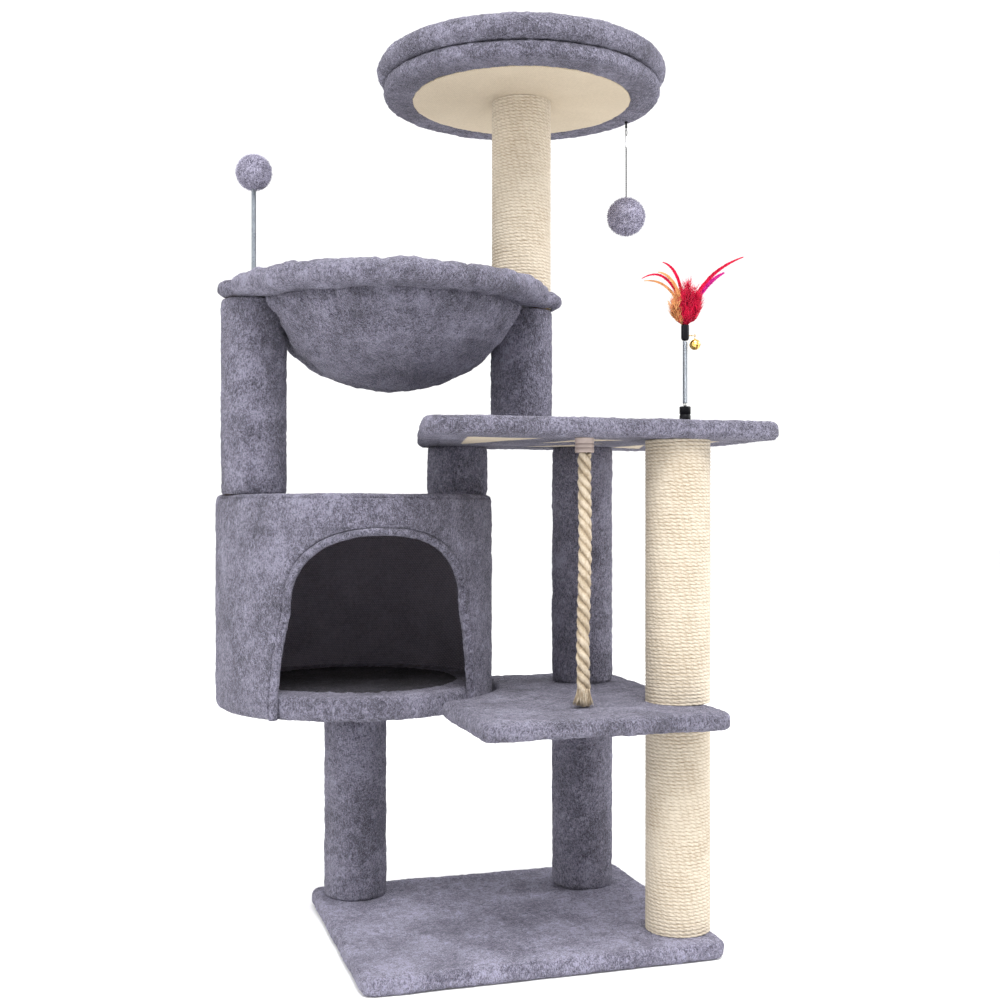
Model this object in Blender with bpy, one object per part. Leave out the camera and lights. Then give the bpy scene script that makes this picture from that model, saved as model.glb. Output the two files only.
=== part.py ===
"""A cat tree: plush covered boards on plush and sisal posts, with a condo, a hammock, a round perch,
two sprung wands, a hanging pompom and a play rope.

Metres, +Z up, +X to the right along the front edge, +Y to the back.
The origin is at the centre of the base's underside, on the floor.
"""

import math

import bmesh
import bpy
from mathutils import Vector

# ---------------------------------------------------------------- driving dimensions
GAP = 0.0003  # between pieces that touch
BOARD = 0.016  # thickness of every flat board
PILE = 0.003  # plush over a board or a tube
HEM = 0.025  # plush folded under a board's edge
EDGE_ROUND = 0.005  # rounding of a plush edge

BASE_WIDTH = 0.45
BASE_DEPTH = 0.38
BASE_CORNER = 0.016

TUBE_RADIUS = 0.0385
TUBE_WALL = 0.005
PLUG = 0.016  # thickness of a tube's end plug
PLUSH_SLEEVE = 0.0032
SISAL_WINDING = 0.0018
POST_SIDES = 16

STUD_RADIUS = 0.0039
STUD_CLEARANCE = 0.0006
STUD_GRIP = 0.014  # length of a stud inside the next piece
BOLT_HEAD_RADIUS = 0.008
BOLT_HEAD = 0.004
COUNTERBORE = 0.0055
HOLE_SIDES = 12

LOWER_POST = 0.26  # tubes from the base to the middle level
MIDDLE_POST = 0.326  # tubes from the middle to the upper platform
BRIDGE_POST = 0.162  # tube from the upper platform to the hammock hoop
PERCH_POST = 0.283  # tube from the hammock hoop to the perch

# the posts on the base, from its edges
CONDO_POST_INSET = (0.054, 0.050)
REAR_POST_INSET = (0.081, 0.090)
FRONT_POST_INSET = (0.038, 0.065)

CONDO_RADIUS = 0.186
CONDO_HEIGHT = 0.282
CONDO_WALL = 0.0047
CONDO_MAT = 0.012  # padded plush on the condo's floor
CONDO_LAP = 0.012  # plush under the condo's floor, onto the post's top
ROOF_PAD = 0.007
DOOR_HALF_WIDTH = 0.1225
DOOR_SHOULDER = 0.108  # half width where the arch begins
DOOR_ARCH = 0.095  # height of the arch above the shoulders
DOOR_LINTEL = 0.052  # condo's height above the arch
TRIM_RADIUS = 0.0042
TRIM_CLEARANCE = 0.0018
CONDO_SIDES = 40
# the posts on the condo's roof: degrees round its axis, and the axis's distance from its edge
HAMMOCK_POST_TURN = 194.7
HAMMOCK_POST_INSET = 0.0402
TOWER_POST_TURN = -1.6
TOWER_POST_INSET = 0.0429

MID_CLEARANCE = 0.006  # between the condo and the middle platform
MID_LEFT = 0.076  # from the condo's axis
MID_RIGHT = 0.028  # past the front post's axis
MID_FRONT = 0.100  # in front of the front post's axis
MID_BACK = 0.090  # behind the rear post's axis
MID_CORNER = 0.014
MID_HEM = 0.085

UPPER_FRONT_LEFT = 0.016  # right of the condo's axis
UPPER_BACK_LEFT = 0.047  # left of the tower post's axis
UPPER_RIGHT = 0.123  # past the front post's axis
UPPER_FRONT = 0.055  # in front of the front post's axis
UPPER_BACK = 0.080  # behind the rear post's axis
UPPER_CORNER = 0.030

HAMMOCK_REACH = (0.362, -0.016)  # from the hammock post to the bridge post
HOOP_WIDTH = 0.016
HOOP = 0.003
RIM_REACH = 0.031  # rim outside the hoop's centre line
RIM_HEIGHT = 0.029  # rim above the posts
RIM_DROP = 0.004  # rim below the posts' tops, between them
RIM_ROUND = 0.009
BAG_DROP = 0.1133  # bag's bottom below the posts' tops
BAG_INSET = 0.011  # bag's mouth inside the hoop's centre line
BAG_WALL = 0.004
BAG_POST_CLEARANCE = 0.0083
BAG_SIDES = 48
GATHER = 0.013  # gathered plush round the bridge post, past the post
DOME = 0.0045  # rim over the hammock post, past the post

PERCH_RADIUS = 0.1885
PERCH_HEM = 0.0385
PERCH_SIDES = 32
BOLSTER_RADIUS = 0.199
BOLSTER_INNER = 0.135
BOLSTER_HEIGHT = 0.0375
CUSHION = 0.015

WAND_LENGTH = 0.1365  # pivot to pompom centre
WAND_SPRING_RADIUS = 0.00325
SPRING_WALL = 0.0007  # the coil's wire, as a tube wall
WAND_POMPOM_RADIUS = 0.0218
WAND_COLLAR_RADIUS = 0.0065
FOOT_RADIUS = 0.0024
FOOT_GAP = 0.0034  # from the pivot to the spring's end

STRING_TURN = 9.4  # degrees round the perch
STRING_TAB = 0.009
STRING_TAB_WIDTH = 0.0055
STRING_LOOP = 0.0100  # clear loop between the tab and the crimp
CRIMP = 0.017
CRIMP_RADIUS = 0.002
STRING_RADIUS = 0.001
STRING_DROP = 0.139  # anchor to pompom centre
HANGING_POMPOM_RADIUS = 0.026

FEATHER_OFFSET = (0.011, 0.002)  # from the front post's axis
FEATHER_SOCKET_RADIUS = 0.007
FEATHER_SOCKET = 0.0195
FEATHER_SCREW_RADIUS = 0.0024
FEATHER_SCREW = 0.013
FEATHER_SPRING_RADIUS = 0.00315
FEATHER_SPRING = 0.0765
FEATHER_CAP_RADIUS = 0.005
FEATHER_CAP = 0.0200
FEATHER_DEPTH = 0.010
FEATHER_TURN = -17.0  # degrees, the plane that the feathers spread in
FEATHER_ROOT = 0.0045
BELL_RADIUS = 0.0072
BELL_REACH = 0.0135
BELL_DROP = 0.0110

ROPE_OFFSET = (-0.132, -0.020)  # from the front post's axis
ROPE_RADIUS = 0.009
ROPE_CLEARANCE = 0.0013
FERRULE = 0.018
FERRULE_WALL = 0.0013
WHIPPING_RADIUS = 0.004
WHIPPING_GAP = 0.0046
ROPE_HEIGHT = 0.0035  # rope's lower end above the middle platform

# ---------------------------------------------------------------- places that follow from them
SKIN = PILE + GAP
SLAB = 2 * SKIN + BOARD
BORE_RADIUS = STUD_RADIUS + STUD_CLEARANCE
PLUSH_POST = TUBE_RADIUS + GAP + PLUSH_SLEEVE
SISAL_POST = TUBE_RADIUS + GAP + SISAL_WINDING

BASE_TOP = SLAB
MIDDLE_Z = BASE_TOP + GAP + LOWER_POST + GAP
MIDDLE_TOP = MIDDLE_Z + SLAB
UPPER_Z = MIDDLE_TOP + GAP + MIDDLE_POST + GAP
UPPER_TOP = UPPER_Z + SLAB
HOOP_Z = UPPER_TOP + GAP + BRIDGE_POST + GAP
HOOP_TOP = HOOP_Z + HOOP
PERCH_Z = HOOP_TOP + GAP + PERCH_POST + GAP
PERCH_TOP = PERCH_Z + SLAB
CONDO_Z = MIDDLE_Z
CONDO_TOP = CONDO_Z + CONDO_HEIGHT


def round_axis(axis, reach, degrees):
    """A place at a distance and an angle from an upright axis."""
    turn = math.radians(degrees)
    return axis + Vector((reach * math.cos(turn), reach * math.sin(turn)))


CONDO_POST = Vector((-BASE_WIDTH / 2 + CONDO_POST_INSET[0], BASE_DEPTH / 2 - CONDO_POST_INSET[1]))
REAR_POST = Vector((BASE_WIDTH / 2 - REAR_POST_INSET[0], BASE_DEPTH / 2 - REAR_POST_INSET[1]))
FRONT_POST = Vector((BASE_WIDTH / 2 - FRONT_POST_INSET[0], -BASE_DEPTH / 2 + FRONT_POST_INSET[1]))
HAMMOCK_PLACE = round_axis(CONDO_POST, CONDO_RADIUS - HAMMOCK_POST_INSET, HAMMOCK_POST_TURN)
TOWER_PLACE = round_axis(CONDO_POST, CONDO_RADIUS - TOWER_POST_INSET, TOWER_POST_TURN)
BRIDGE_PLACE = HAMMOCK_PLACE + Vector(HAMMOCK_REACH)
HAMMOCK_CENTRE = (HAMMOCK_PLACE + BRIDGE_PLACE) / 2
HOOP_RADIUS = (BRIDGE_PLACE - HAMMOCK_PLACE).length / 2
HAMMOCK_TURN = math.atan2(HAMMOCK_REACH[1], HAMMOCK_REACH[0])
FEATHER_PLACE = FRONT_POST + Vector(FEATHER_OFFSET)
ROPE_PLACE = FRONT_POST + Vector(ROPE_OFFSET)
STRING_PLACE = round_axis(BRIDGE_PLACE, PERCH_RADIUS - PERCH_HEM / 2, STRING_TURN)

WALL_OUTER = CONDO_RADIUS - PILE - GAP
WALL_INNER = WALL_OUTER - CONDO_WALL
FLOOR_RADIUS = WALL_INNER - GAP
ROOF_Z = CONDO_TOP - ROOF_PAD
DOOR_HEIGHT = CONDO_HEIGHT - DOOR_LINTEL
DOOR_SHOULDER_HEIGHT = DOOR_HEIGHT - DOOR_ARCH
UPPER_HOLES = [REAR_POST, FRONT_POST, TOWER_PLACE]


# ---------------------------------------------------------------- building tools
def clear_scene():
    for obj in list(bpy.data.objects):
        bpy.data.objects.remove(obj, do_unlink=True)


def material(name, colour, roughness, metallic=0.0):
    mat = bpy.data.materials.new(name)
    mat.use_nodes = True
    shader = mat.node_tree.nodes["Principled BSDF"]
    shader.inputs["Base Color"].default_value = (*colour, 1.0)
    shader.inputs["Roughness"].default_value = roughness
    shader.inputs["Metallic"].default_value = metallic
    return mat


def add_object(name, mesh, mat, place=(0.0, 0.0, 0.0)):
    obj = bpy.data.objects.new(name, mesh)
    obj.location = place
    obj.data.materials.append(mat)
    bpy.context.scene.collection.objects.link(obj)
    return obj


def finish_mesh(name, bm):
    bmesh.ops.recalc_face_normals(bm, faces=bm.faces)
    mesh = bpy.data.meshes.new(name)
    bm.to_mesh(mesh)
    bm.free()
    mesh.shade_smooth()
    mesh.set_sharp_from_angle(angle=math.radians(35))
    return mesh


def bridge(bm, first, second):
    """Faces between two loops of vertices, where a loop of one vertex is a pole."""
    count = max(len(first), len(second))
    for i in range(count):
        j = (i + 1) % count
        near = [first[i % len(first)], first[j % len(first)]]
        far = [second[j % len(second)], second[i % len(second)]]
        bm.faces.new(list(dict.fromkeys(near + far)))


def ring(bm, radius, z, sides):
    """A level circle of vertices, or one vertex on the axis."""
    if radius == 0.0:
        return [bm.verts.new((0.0, 0.0, z))]
    turns = [2 * math.pi * i / sides for i in range(sides)]
    return [bm.verts.new((radius * math.cos(a), radius * math.sin(a), z)) for a in turns]


def lathe(name, profile, mat, place, sides):
    """Turns (radius, z) points round Z. An open profile starts and ends on the axis."""
    bm = bmesh.new()
    loops = [ring(bm, radius, z, sides) for radius, z in profile]
    for first, second in zip(loops, loops[1:]):
        bridge(bm, first, second)
    if profile[0][0] > 0.0:
        bridge(bm, loops[-1], loops[0])
    return add_object(name, finish_mesh(name, bm), mat, place)


def stack(name, outline, levels, mat):
    """A solid from one outline at several (inset, z) levels, with its first and last level capped."""
    bm = bmesh.new()
    loops = [[bm.verts.new((x, y, z)) for x, y in outline(inset)] for inset, z in levels]
    for first, second in zip(loops, loops[1:]):
        bridge(bm, first, second)
    bm.faces.new(loops[0])
    bm.faces.new(loops[-1])
    return add_object(name, finish_mesh(name, bm), mat)


def cylinders(name, places, radius, low, high, sides=HOLE_SIDES):
    """Plain upright cylinders for cutting or adding, kept out of the model itself."""
    bm = bmesh.new()
    for place in places:
        loops = []
        for z in (low, high):
            loop = ring(bm, radius, z, sides)
            for vert in loop:
                vert.co += Vector((place[0], place[1], 0.0))
            loops.append(loop)
        bridge(bm, loops[0], loops[1])
        bm.faces.new(loops[0])
        bm.faces.new(loops[1])
    return as_tool(bpy.data.objects.new(name, finish_mesh(name, bm)))


def as_tool(obj):
    """Hides an object that only cuts or adds to another."""
    if not obj.users_collection:
        bpy.context.scene.collection.objects.link(obj)
    obj.hide_render = True
    obj.display_type = "WIRE"
    return obj


def combine(target, tool, operation):
    boolean = target.modifiers.new(tool.name, "BOOLEAN")
    boolean.operation = operation
    boolean.solver = "EXACT"
    boolean.object = tool


def drill(target, places, low, high, radius=BORE_RADIUS):
    name = f"{target.name}_drill_{len(target.modifiers)}"
    combine(target, cylinders(name, places, radius, low, high), "DIFFERENCE")


def add_studs(target, places, low, high):
    combine(target, cylinders(f"{target.name}_studs", places, STUD_RADIUS, low, high), "UNION")


def shrink(corners, inset):
    """An anticlockwise polygon with every side moved inwards."""
    result = []
    count = len(corners)
    for i in range(count):
        here = Vector(corners[i])
        before = (here - Vector(corners[i - 1])).normalized()
        after = (Vector(corners[(i + 1) % count]) - here).normalized()
        inward = Vector((-before.y, before.x))
        bend = before.x * after.y - before.y * after.x
        slide = 1.0 + before.dot(after)
        result.append(here + inward * inset - before * (inset * bend / slide))
    return result


def fillet(before, corner, after, radius, steps=4):
    """Points of the arc that rounds a corner, between its two neighbours."""
    to_before = (Vector(before) - Vector(corner)).normalized()
    to_after = (Vector(after) - Vector(corner)).normalized()
    half = to_before.angle(to_after) / 2
    reach = radius / math.tan(half)
    centre = Vector(corner) + (to_before + to_after).normalized() * radius / math.sin(half)
    start = Vector(corner) + to_before * reach - centre
    end = Vector(corner) + to_after * reach - centre
    sweep = math.pi - 2 * half
    points = []
    for i in range(steps + 1):
        share = i / steps
        along = start * math.sin((1 - share) * sweep) + end * math.sin(share * sweep)
        points.append(centre + along / math.sin(sweep))
    return points


def rounded(corners, radius):
    """A polygon with every corner rounded."""
    points = []
    for i, corner in enumerate(corners):
        points += fillet(corners[i - 1], corner, corners[(i + 1) % len(corners)], radius)
    return points


def covered_board(name, outline, low, mats, hem=HEM):
    """A flat board and the plush that wraps its top, its edge and a hem under it."""
    plush, wood = mats
    high = low + SLAB
    seat = low + SKIN
    board = stack(f"{name}_board", outline, [(SKIN + GAP, seat), (SKIN + GAP, seat + BOARD)], wood)
    levels = [
        (EDGE_ROUND, high),
        (0.0, high - EDGE_ROUND),
        (0.0, low + EDGE_ROUND),
        (EDGE_ROUND, low),
        (hem, low),
        (hem, low + PILE),
        (SKIN, low + PILE),
        (SKIN, high - PILE),
    ]
    return board, stack(f"{name}_cover", outline, levels, plush)


# ---------------------------------------------------------------- outlines
def base_outline(inset):
    half = Vector((BASE_WIDTH / 2 - inset, BASE_DEPTH / 2 - inset))
    corners = [(-half.x, -half.y), (half.x, -half.y), (half.x, half.y), (-half.x, half.y)]
    return rounded(corners, max(BASE_CORNER - inset, GAP))


def mid_outline(inset):
    """A rectangle whose back left corner is cut out round the condo."""
    left = CONDO_POST.x + MID_LEFT + inset
    right = FRONT_POST.x + MID_RIGHT - inset
    front = FRONT_POST.y - MID_FRONT + inset
    back = REAR_POST.y + MID_BACK - inset
    radius = CONDO_RADIUS + MID_CLEARANCE + inset
    corner = max(MID_CORNER - inset, GAP)
    start = math.asin((back - CONDO_POST.y) / radius)
    end = -math.acos((left - CONDO_POST.x) / radius)
    steps = 10
    points = []
    square = [(left, back), (left, front), (right, front), (right, back)]
    for i in (1, 2, 3):
        points += fillet(square[i - 1], square[i], square[(i + 1) % 4], corner)
    for i in range(steps + 1):
        angle = start + (end - start) * i / steps
        points.append(CONDO_POST + radius * Vector((math.cos(angle), math.sin(angle))))
    return points


def upper_outline(inset):
    corners = [
        (CONDO_POST.x + UPPER_FRONT_LEFT, FRONT_POST.y - UPPER_FRONT),
        (FRONT_POST.x + UPPER_RIGHT, FRONT_POST.y - UPPER_FRONT),
        (FRONT_POST.x + UPPER_RIGHT, REAR_POST.y + UPPER_BACK),
        (TOWER_PLACE.x - UPPER_BACK_LEFT, REAR_POST.y + UPPER_BACK),
    ]
    return rounded(shrink(corners, inset), max(UPPER_CORNER - inset, GAP))


# ---------------------------------------------------------------- posts
def post(name, place, low, high, wrap, mats, stud=0.0, bore=True):
    """A tube with end plugs, bored at the bottom and with a stud or a bore on top, and its wrap."""
    wall = TUBE_RADIUS - TUBE_WALL
    if stud > 0.0:
        top = [(0.0, high + stud), (STUD_RADIUS, high + stud), (STUD_RADIUS, high), (TUBE_RADIUS, high)]
    else:
        top = [(BORE_RADIUS, high), (TUBE_RADIUS, high)]
    profile = top + [
        (TUBE_RADIUS, low),
        (BORE_RADIUS, low),
        (BORE_RADIUS, low + PLUG),
        (wall, low + PLUG),
        (wall, high - PLUG),
    ]
    if stud > 0.0:
        profile.append((0.0, high - PLUG))
    else:
        profile.append((BORE_RADIUS, high - PLUG))
    at = (place.x, place.y, 0.0)
    lathe(f"{name}_tube", profile, mats["tube"], at, POST_SIDES)
    inner = TUBE_RADIUS + GAP
    outer = PLUSH_POST if wrap == "plush" else SISAL_POST
    sleeve = [(outer, high), (outer, low), (inner, low), (inner, high)]
    suffix = "sleeve" if wrap == "plush" else "sisal"
    lathe(f"{name}_{suffix}", sleeve, mats[wrap], at, POST_SIDES)


def make_posts(mats):
    low = BASE_TOP + GAP
    middle = MIDDLE_TOP + GAP
    upper = UPPER_TOP + GAP
    roof = CONDO_TOP + GAP
    through = GAP + SLAB + GAP + STUD_GRIP
    blind = GAP + SKIN + BOARD - GAP
    post("condo_post", CONDO_POST, low, low + LOWER_POST, "plush", mats, stud=blind)
    post("rear_lower", REAR_POST, low, low + LOWER_POST, "plush", mats, stud=through)
    post("front_lower", FRONT_POST, low, low + LOWER_POST, "sisal", mats, stud=through)
    post("rear_upper", REAR_POST, middle, middle + MIDDLE_POST, "plush", mats, stud=blind)
    post("front_upper", FRONT_POST, middle, middle + MIDDLE_POST, "sisal", mats, stud=blind)
    post("tower_post", TOWER_PLACE, roof, UPPER_Z - GAP, "plush", mats, stud=blind)
    post("hammock_post", HAMMOCK_PLACE, roof, HOOP_Z - GAP, "plush", mats)
    through_hoop = GAP + HOOP + GAP + STUD_GRIP
    post("bridge_post", BRIDGE_PLACE, upper, HOOP_Z - GAP, "plush", mats, stud=through_hoop)
    post("perch_post", BRIDGE_PLACE, HOOP_TOP + GAP, PERCH_Z - GAP, "sisal", mats, stud=blind)


# ---------------------------------------------------------------- levels
def make_base(mats):
    board, cover = covered_board("base", base_outline, 0.0, (mats["plush"], mats["wood"]))
    liner = stack("base_liner", base_outline, [(HEM + GAP, 0.0), (HEM + GAP, PILE)], mats["liner"])
    places = {"condo": CONDO_POST, "rear": REAR_POST, "front": FRONT_POST}
    drill(board, places.values(), SKIN - BOARD, SKIN + 2 * BOARD)
    drill(board, places.values(), SKIN - BOARD, SKIN + COUNTERBORE, BOLT_HEAD_RADIUS + STUD_CLEARANCE)
    drill(cover, places.values(), BASE_TOP - BOARD / 2, BASE_TOP + BOARD)
    drill(liner, places.values(), -PILE, 2 * PILE, BOLT_HEAD_RADIUS + STUD_CLEARANCE)
    for key, place in places.items():
        base_bolt(f"base_bolt_{key}", place, mats["zinc"])


def base_bolt(name, place, mat):
    """A bolt with a flat head, up through the base into a post's bottom plug."""
    seat = SKIN + COUNTERBORE - GAP
    profile = [
        (0.0, BASE_TOP + STUD_GRIP),
        (STUD_RADIUS, BASE_TOP + STUD_GRIP),
        (STUD_RADIUS, seat),
        (BOLT_HEAD_RADIUS, seat),
        (BOLT_HEAD_RADIUS, seat - BOLT_HEAD),
        (0.0, seat - BOLT_HEAD),
    ]
    lathe(name, profile, mat, (place.x, place.y, 0.0), HOLE_SIDES)


def make_middle(mats):
    board, cover = covered_board("mid", mid_outline, MIDDLE_Z, (mats["plush"], mats["wood"]), MID_HEM)
    for piece in (board, cover):
        drill(piece, [REAR_POST, FRONT_POST], MIDDLE_Z - BOARD, MIDDLE_TOP + BOARD)


def make_upper(mats):
    board, cover = covered_board("upper", upper_outline, UPPER_Z, (mats["plush"], mats["wood"]))
    levels = [(HEM + GAP, UPPER_Z), (HEM + GAP, UPPER_Z + PILE)]
    liner = stack("upper_liner", upper_outline, levels, mats["liner"])
    inside = UPPER_Z + SKIN
    screw = FEATHER_SCREW_RADIUS + STUD_CLEARANCE
    for piece in (board, liner):
        drill(piece, UPPER_HOLES, UPPER_Z - BOARD, inside + 2 * BOARD)
        drill(piece, [ROPE_PLACE], UPPER_Z - BOARD, inside + BOARD / 2, screw)
    drill(board, [FEATHER_PLACE], inside + PILE, UPPER_TOP + BOARD, screw)
    drill(cover, [FEATHER_PLACE], UPPER_TOP - BOARD / 2, UPPER_TOP + BOARD, screw)
    drill(cover, [BRIDGE_PLACE], UPPER_TOP - BOARD / 2, UPPER_TOP + BOARD)
    add_studs(board, [BRIDGE_PLACE], inside + BOARD / 2, UPPER_TOP + STUD_GRIP)


# ---------------------------------------------------------------- condo
def half_door(height, margin):
    """Half the doorway's width at a height above the condo's underside."""
    shoulder = DOOR_SHOULDER + margin
    if height <= DOOR_SHOULDER_HEIGHT:
        share = height / DOOR_SHOULDER_HEIGHT
        return DOOR_HALF_WIDTH + margin + (DOOR_SHOULDER - DOOR_HALF_WIDTH) * share**2
    share = (height - DOOR_SHOULDER_HEIGHT) / (DOOR_HEIGHT + margin - DOOR_SHOULDER_HEIGHT)
    return shoulder * (1.0 - min(share, 1.0) ** 2.4) ** (1 / 2.4)


def door_path(margin, start):
    """(x, height) points up the right side of the doorway, over the arch and down the left."""
    top = DOOR_HEIGHT + margin
    sides = [start, DOOR_SHOULDER_HEIGHT * 0.35, DOOR_SHOULDER_HEIGHT * 0.7, DOOR_SHOULDER_HEIGHT]
    rise = top - DOOR_SHOULDER_HEIGHT
    arch = [DOOR_SHOULDER_HEIGHT + rise * s for s in (0.35, 0.62, 0.8, 0.92, 0.985)]
    right = [(half_door(height, margin), height) for height in sides + arch]
    return right + [(0.0, top)] + [(-x, height) for x, height in reversed(right)]


def door_cutter(name, margin):
    """An arched prism from the condo's axis out through its front."""
    bm = bmesh.new()
    points = [(x, CONDO_Z + height) for x, height in door_path(margin, -BOARD)]
    near = [bm.verts.new((CONDO_POST.x + x, CONDO_POST.y, z)) for x, z in points]
    far = [bm.verts.new((CONDO_POST.x + x, CONDO_POST.y - 2 * CONDO_RADIUS, z)) for x, z in points]
    bridge(bm, near, far)
    bm.faces.new(near)
    bm.faces.new(far)
    return as_tool(bpy.data.objects.new(name, finish_mesh(name, bm)))


def make_door_trim(mat):
    """A plush welt along the doorway's edge, on the curve of the wall."""
    radius = CONDO_RADIUS - TRIM_RADIUS
    curve = bpy.data.curves.new("condo_door_trim", "CURVE")
    curve.dimensions = "3D"
    curve.bevel_depth = TRIM_RADIUS
    curve.bevel_resolution = 1
    curve.use_fill_caps = True
    spline = curve.splines.new("POLY")
    points = door_path(TRIM_RADIUS, GAP)
    spline.points.add(len(points) - 1)
    for point, (x, height) in zip(spline.points, points):
        point.co = (x, -math.sqrt(radius**2 - x**2), CONDO_Z + height, 1.0)
    add_object("condo_door_trim", curve, mat, (CONDO_POST.x, CONDO_POST.y, 0.0))


def make_condo(mats):
    at = (CONDO_POST.x, CONDO_POST.y, 0.0)
    plush = mats["plush"]
    board = CONDO_Z + SKIN
    inner = FLOOR_RADIUS - SKIN
    floor_board = [(0.0, board + BOARD), (inner - GAP, board + BOARD), (inner - GAP, board), (0.0, board)]
    floor_piece = lathe("condo_floor_board", floor_board, mats["wood"], at, CONDO_SIDES)
    drill(floor_piece, [CONDO_POST], board - BOARD, board + 2 * BOARD)
    ceiling = board + BOARD + GAP
    floor_cover = [
        (0.0, ceiling + CONDO_MAT),
        (FLOOR_RADIUS - EDGE_ROUND, ceiling + CONDO_MAT),
        (FLOOR_RADIUS, ceiling + CONDO_MAT - EDGE_ROUND),
        (FLOOR_RADIUS, CONDO_Z + EDGE_ROUND),
        (FLOOR_RADIUS - EDGE_ROUND, CONDO_Z),
        (PLUSH_POST - CONDO_LAP, CONDO_Z),
        (PLUSH_POST - CONDO_LAP, CONDO_Z + PILE),
        (inner, CONDO_Z + PILE),
        (inner, ceiling),
        (0.0, ceiling),
    ]
    lathe("condo_floor_cover", floor_cover, plush, at, CONDO_SIDES)
    wall_top = ROOF_Z - GAP
    wall = [(WALL_OUTER, wall_top), (WALL_OUTER, CONDO_Z), (WALL_INNER, CONDO_Z), (WALL_INNER, wall_top)]
    skin = [
        (CONDO_RADIUS, wall_top),
        (CONDO_RADIUS, CONDO_Z),
        (CONDO_RADIUS - PILE, CONDO_Z),
        (CONDO_RADIUS - PILE, wall_top),
    ]
    opening = 2 * TRIM_RADIUS + TRIM_CLEARANCE
    wall_piece = lathe("condo_wall", wall, mats["tube"], at, CONDO_SIDES)
    cover_piece = lathe("condo_wall_cover", skin, plush, at, CONDO_SIDES)
    combine(wall_piece, door_cutter("wall_door_cutter", opening), "DIFFERENCE")
    combine(cover_piece, door_cutter("cover_door_cutter", opening), "DIFFERENCE")
    make_door_trim(plush)
    make_roof(mats, at)


def make_roof(mats, at):
    """The roof board inside the wall, with two studs, and the padded plush over it and the wall."""
    high = ROOF_Z - GAP
    low = high - BOARD
    radius = WALL_INNER - GAP
    roof = [(0.0, high), (radius, high), (radius, low), (0.0, low)]
    board = lathe("condo_roof_board", roof, mats["wood"], at, CONDO_SIDES)
    pad = [
        (0.0, CONDO_TOP),
        (CONDO_RADIUS - EDGE_ROUND, CONDO_TOP),
        (CONDO_RADIUS, CONDO_TOP - EDGE_ROUND),
        (CONDO_RADIUS, ROOF_Z),
        (0.0, ROOF_Z),
    ]
    cover = lathe("condo_roof_cover", pad, mats["plush"], at, CONDO_SIDES)
    places = [HAMMOCK_PLACE, TOWER_PLACE]
    add_studs(board, places, low + BOARD / 2, CONDO_TOP + STUD_GRIP)
    drill(cover, places, ROOF_Z - BOARD, CONDO_TOP + BOARD)


# ---------------------------------------------------------------- hammock
def crossing(angle, radius, side):
    """Distance from the hammock's centre to a circle round a post, where a ray at this angle meets it."""
    off = HOOP_RADIUS * math.sin(angle)
    if abs(off) >= radius or math.cos(angle) <= 0.0:
        return None
    return HOOP_RADIUS * math.cos(angle) + side * math.sqrt(radius**2 - off**2)


def bag_profile(angle):
    """(radius, z) points from the bag's bottom, over its rim and back down the inside."""
    to_post = min(abs(angle), 2 * math.pi - abs(angle))
    to_other = math.pi - to_post
    near = min(to_post, to_other)
    keep_out = crossing(near, PLUSH_POST + BAG_POST_CLEARANCE, -1)
    mouth = HOOP_RADIUS - BAG_INSET
    over = GATHER if to_post < to_other else DOME
    bulge = crossing(near, PLUSH_POST + over, 1)
    rim = max(HOOP_RADIUS + RIM_REACH, bulge or 0.0)
    beside = math.asin((PLUSH_POST + BAG_POST_CLEARANCE) / HOOP_RADIUS) + 2 * math.pi / BAG_SIDES
    under = HOOP_Z if near < beside else HOOP_Z - RIM_DROP
    low = HOOP_Z - BAG_DROP
    top = HOOP_Z + RIM_HEIGHT
    outer = []
    for share in (0.05, 0.18, 0.36, 0.58, 0.8, 1.0):
        radius = mouth * math.sqrt(1.0 - (1.0 - share) ** 1.6)
        outer.append((min(radius, keep_out or radius), low + share * (under - low)))
    inner = [(radius - BAG_WALL * radius / mouth, z + BAG_WALL) for radius, z in outer]
    inside = mouth - BAG_WALL
    edge = [
        (rim - RIM_ROUND, under),
        (rim, under + RIM_ROUND),
        (rim, top - RIM_ROUND),
        (rim - RIM_ROUND, top),
        (inside + RIM_ROUND, top),
        (inside, top - RIM_ROUND),
    ]
    return [(0.0, low)] + outer + edge + inner[::-1] + [(0.0, low + BAG_WALL)]


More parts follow.
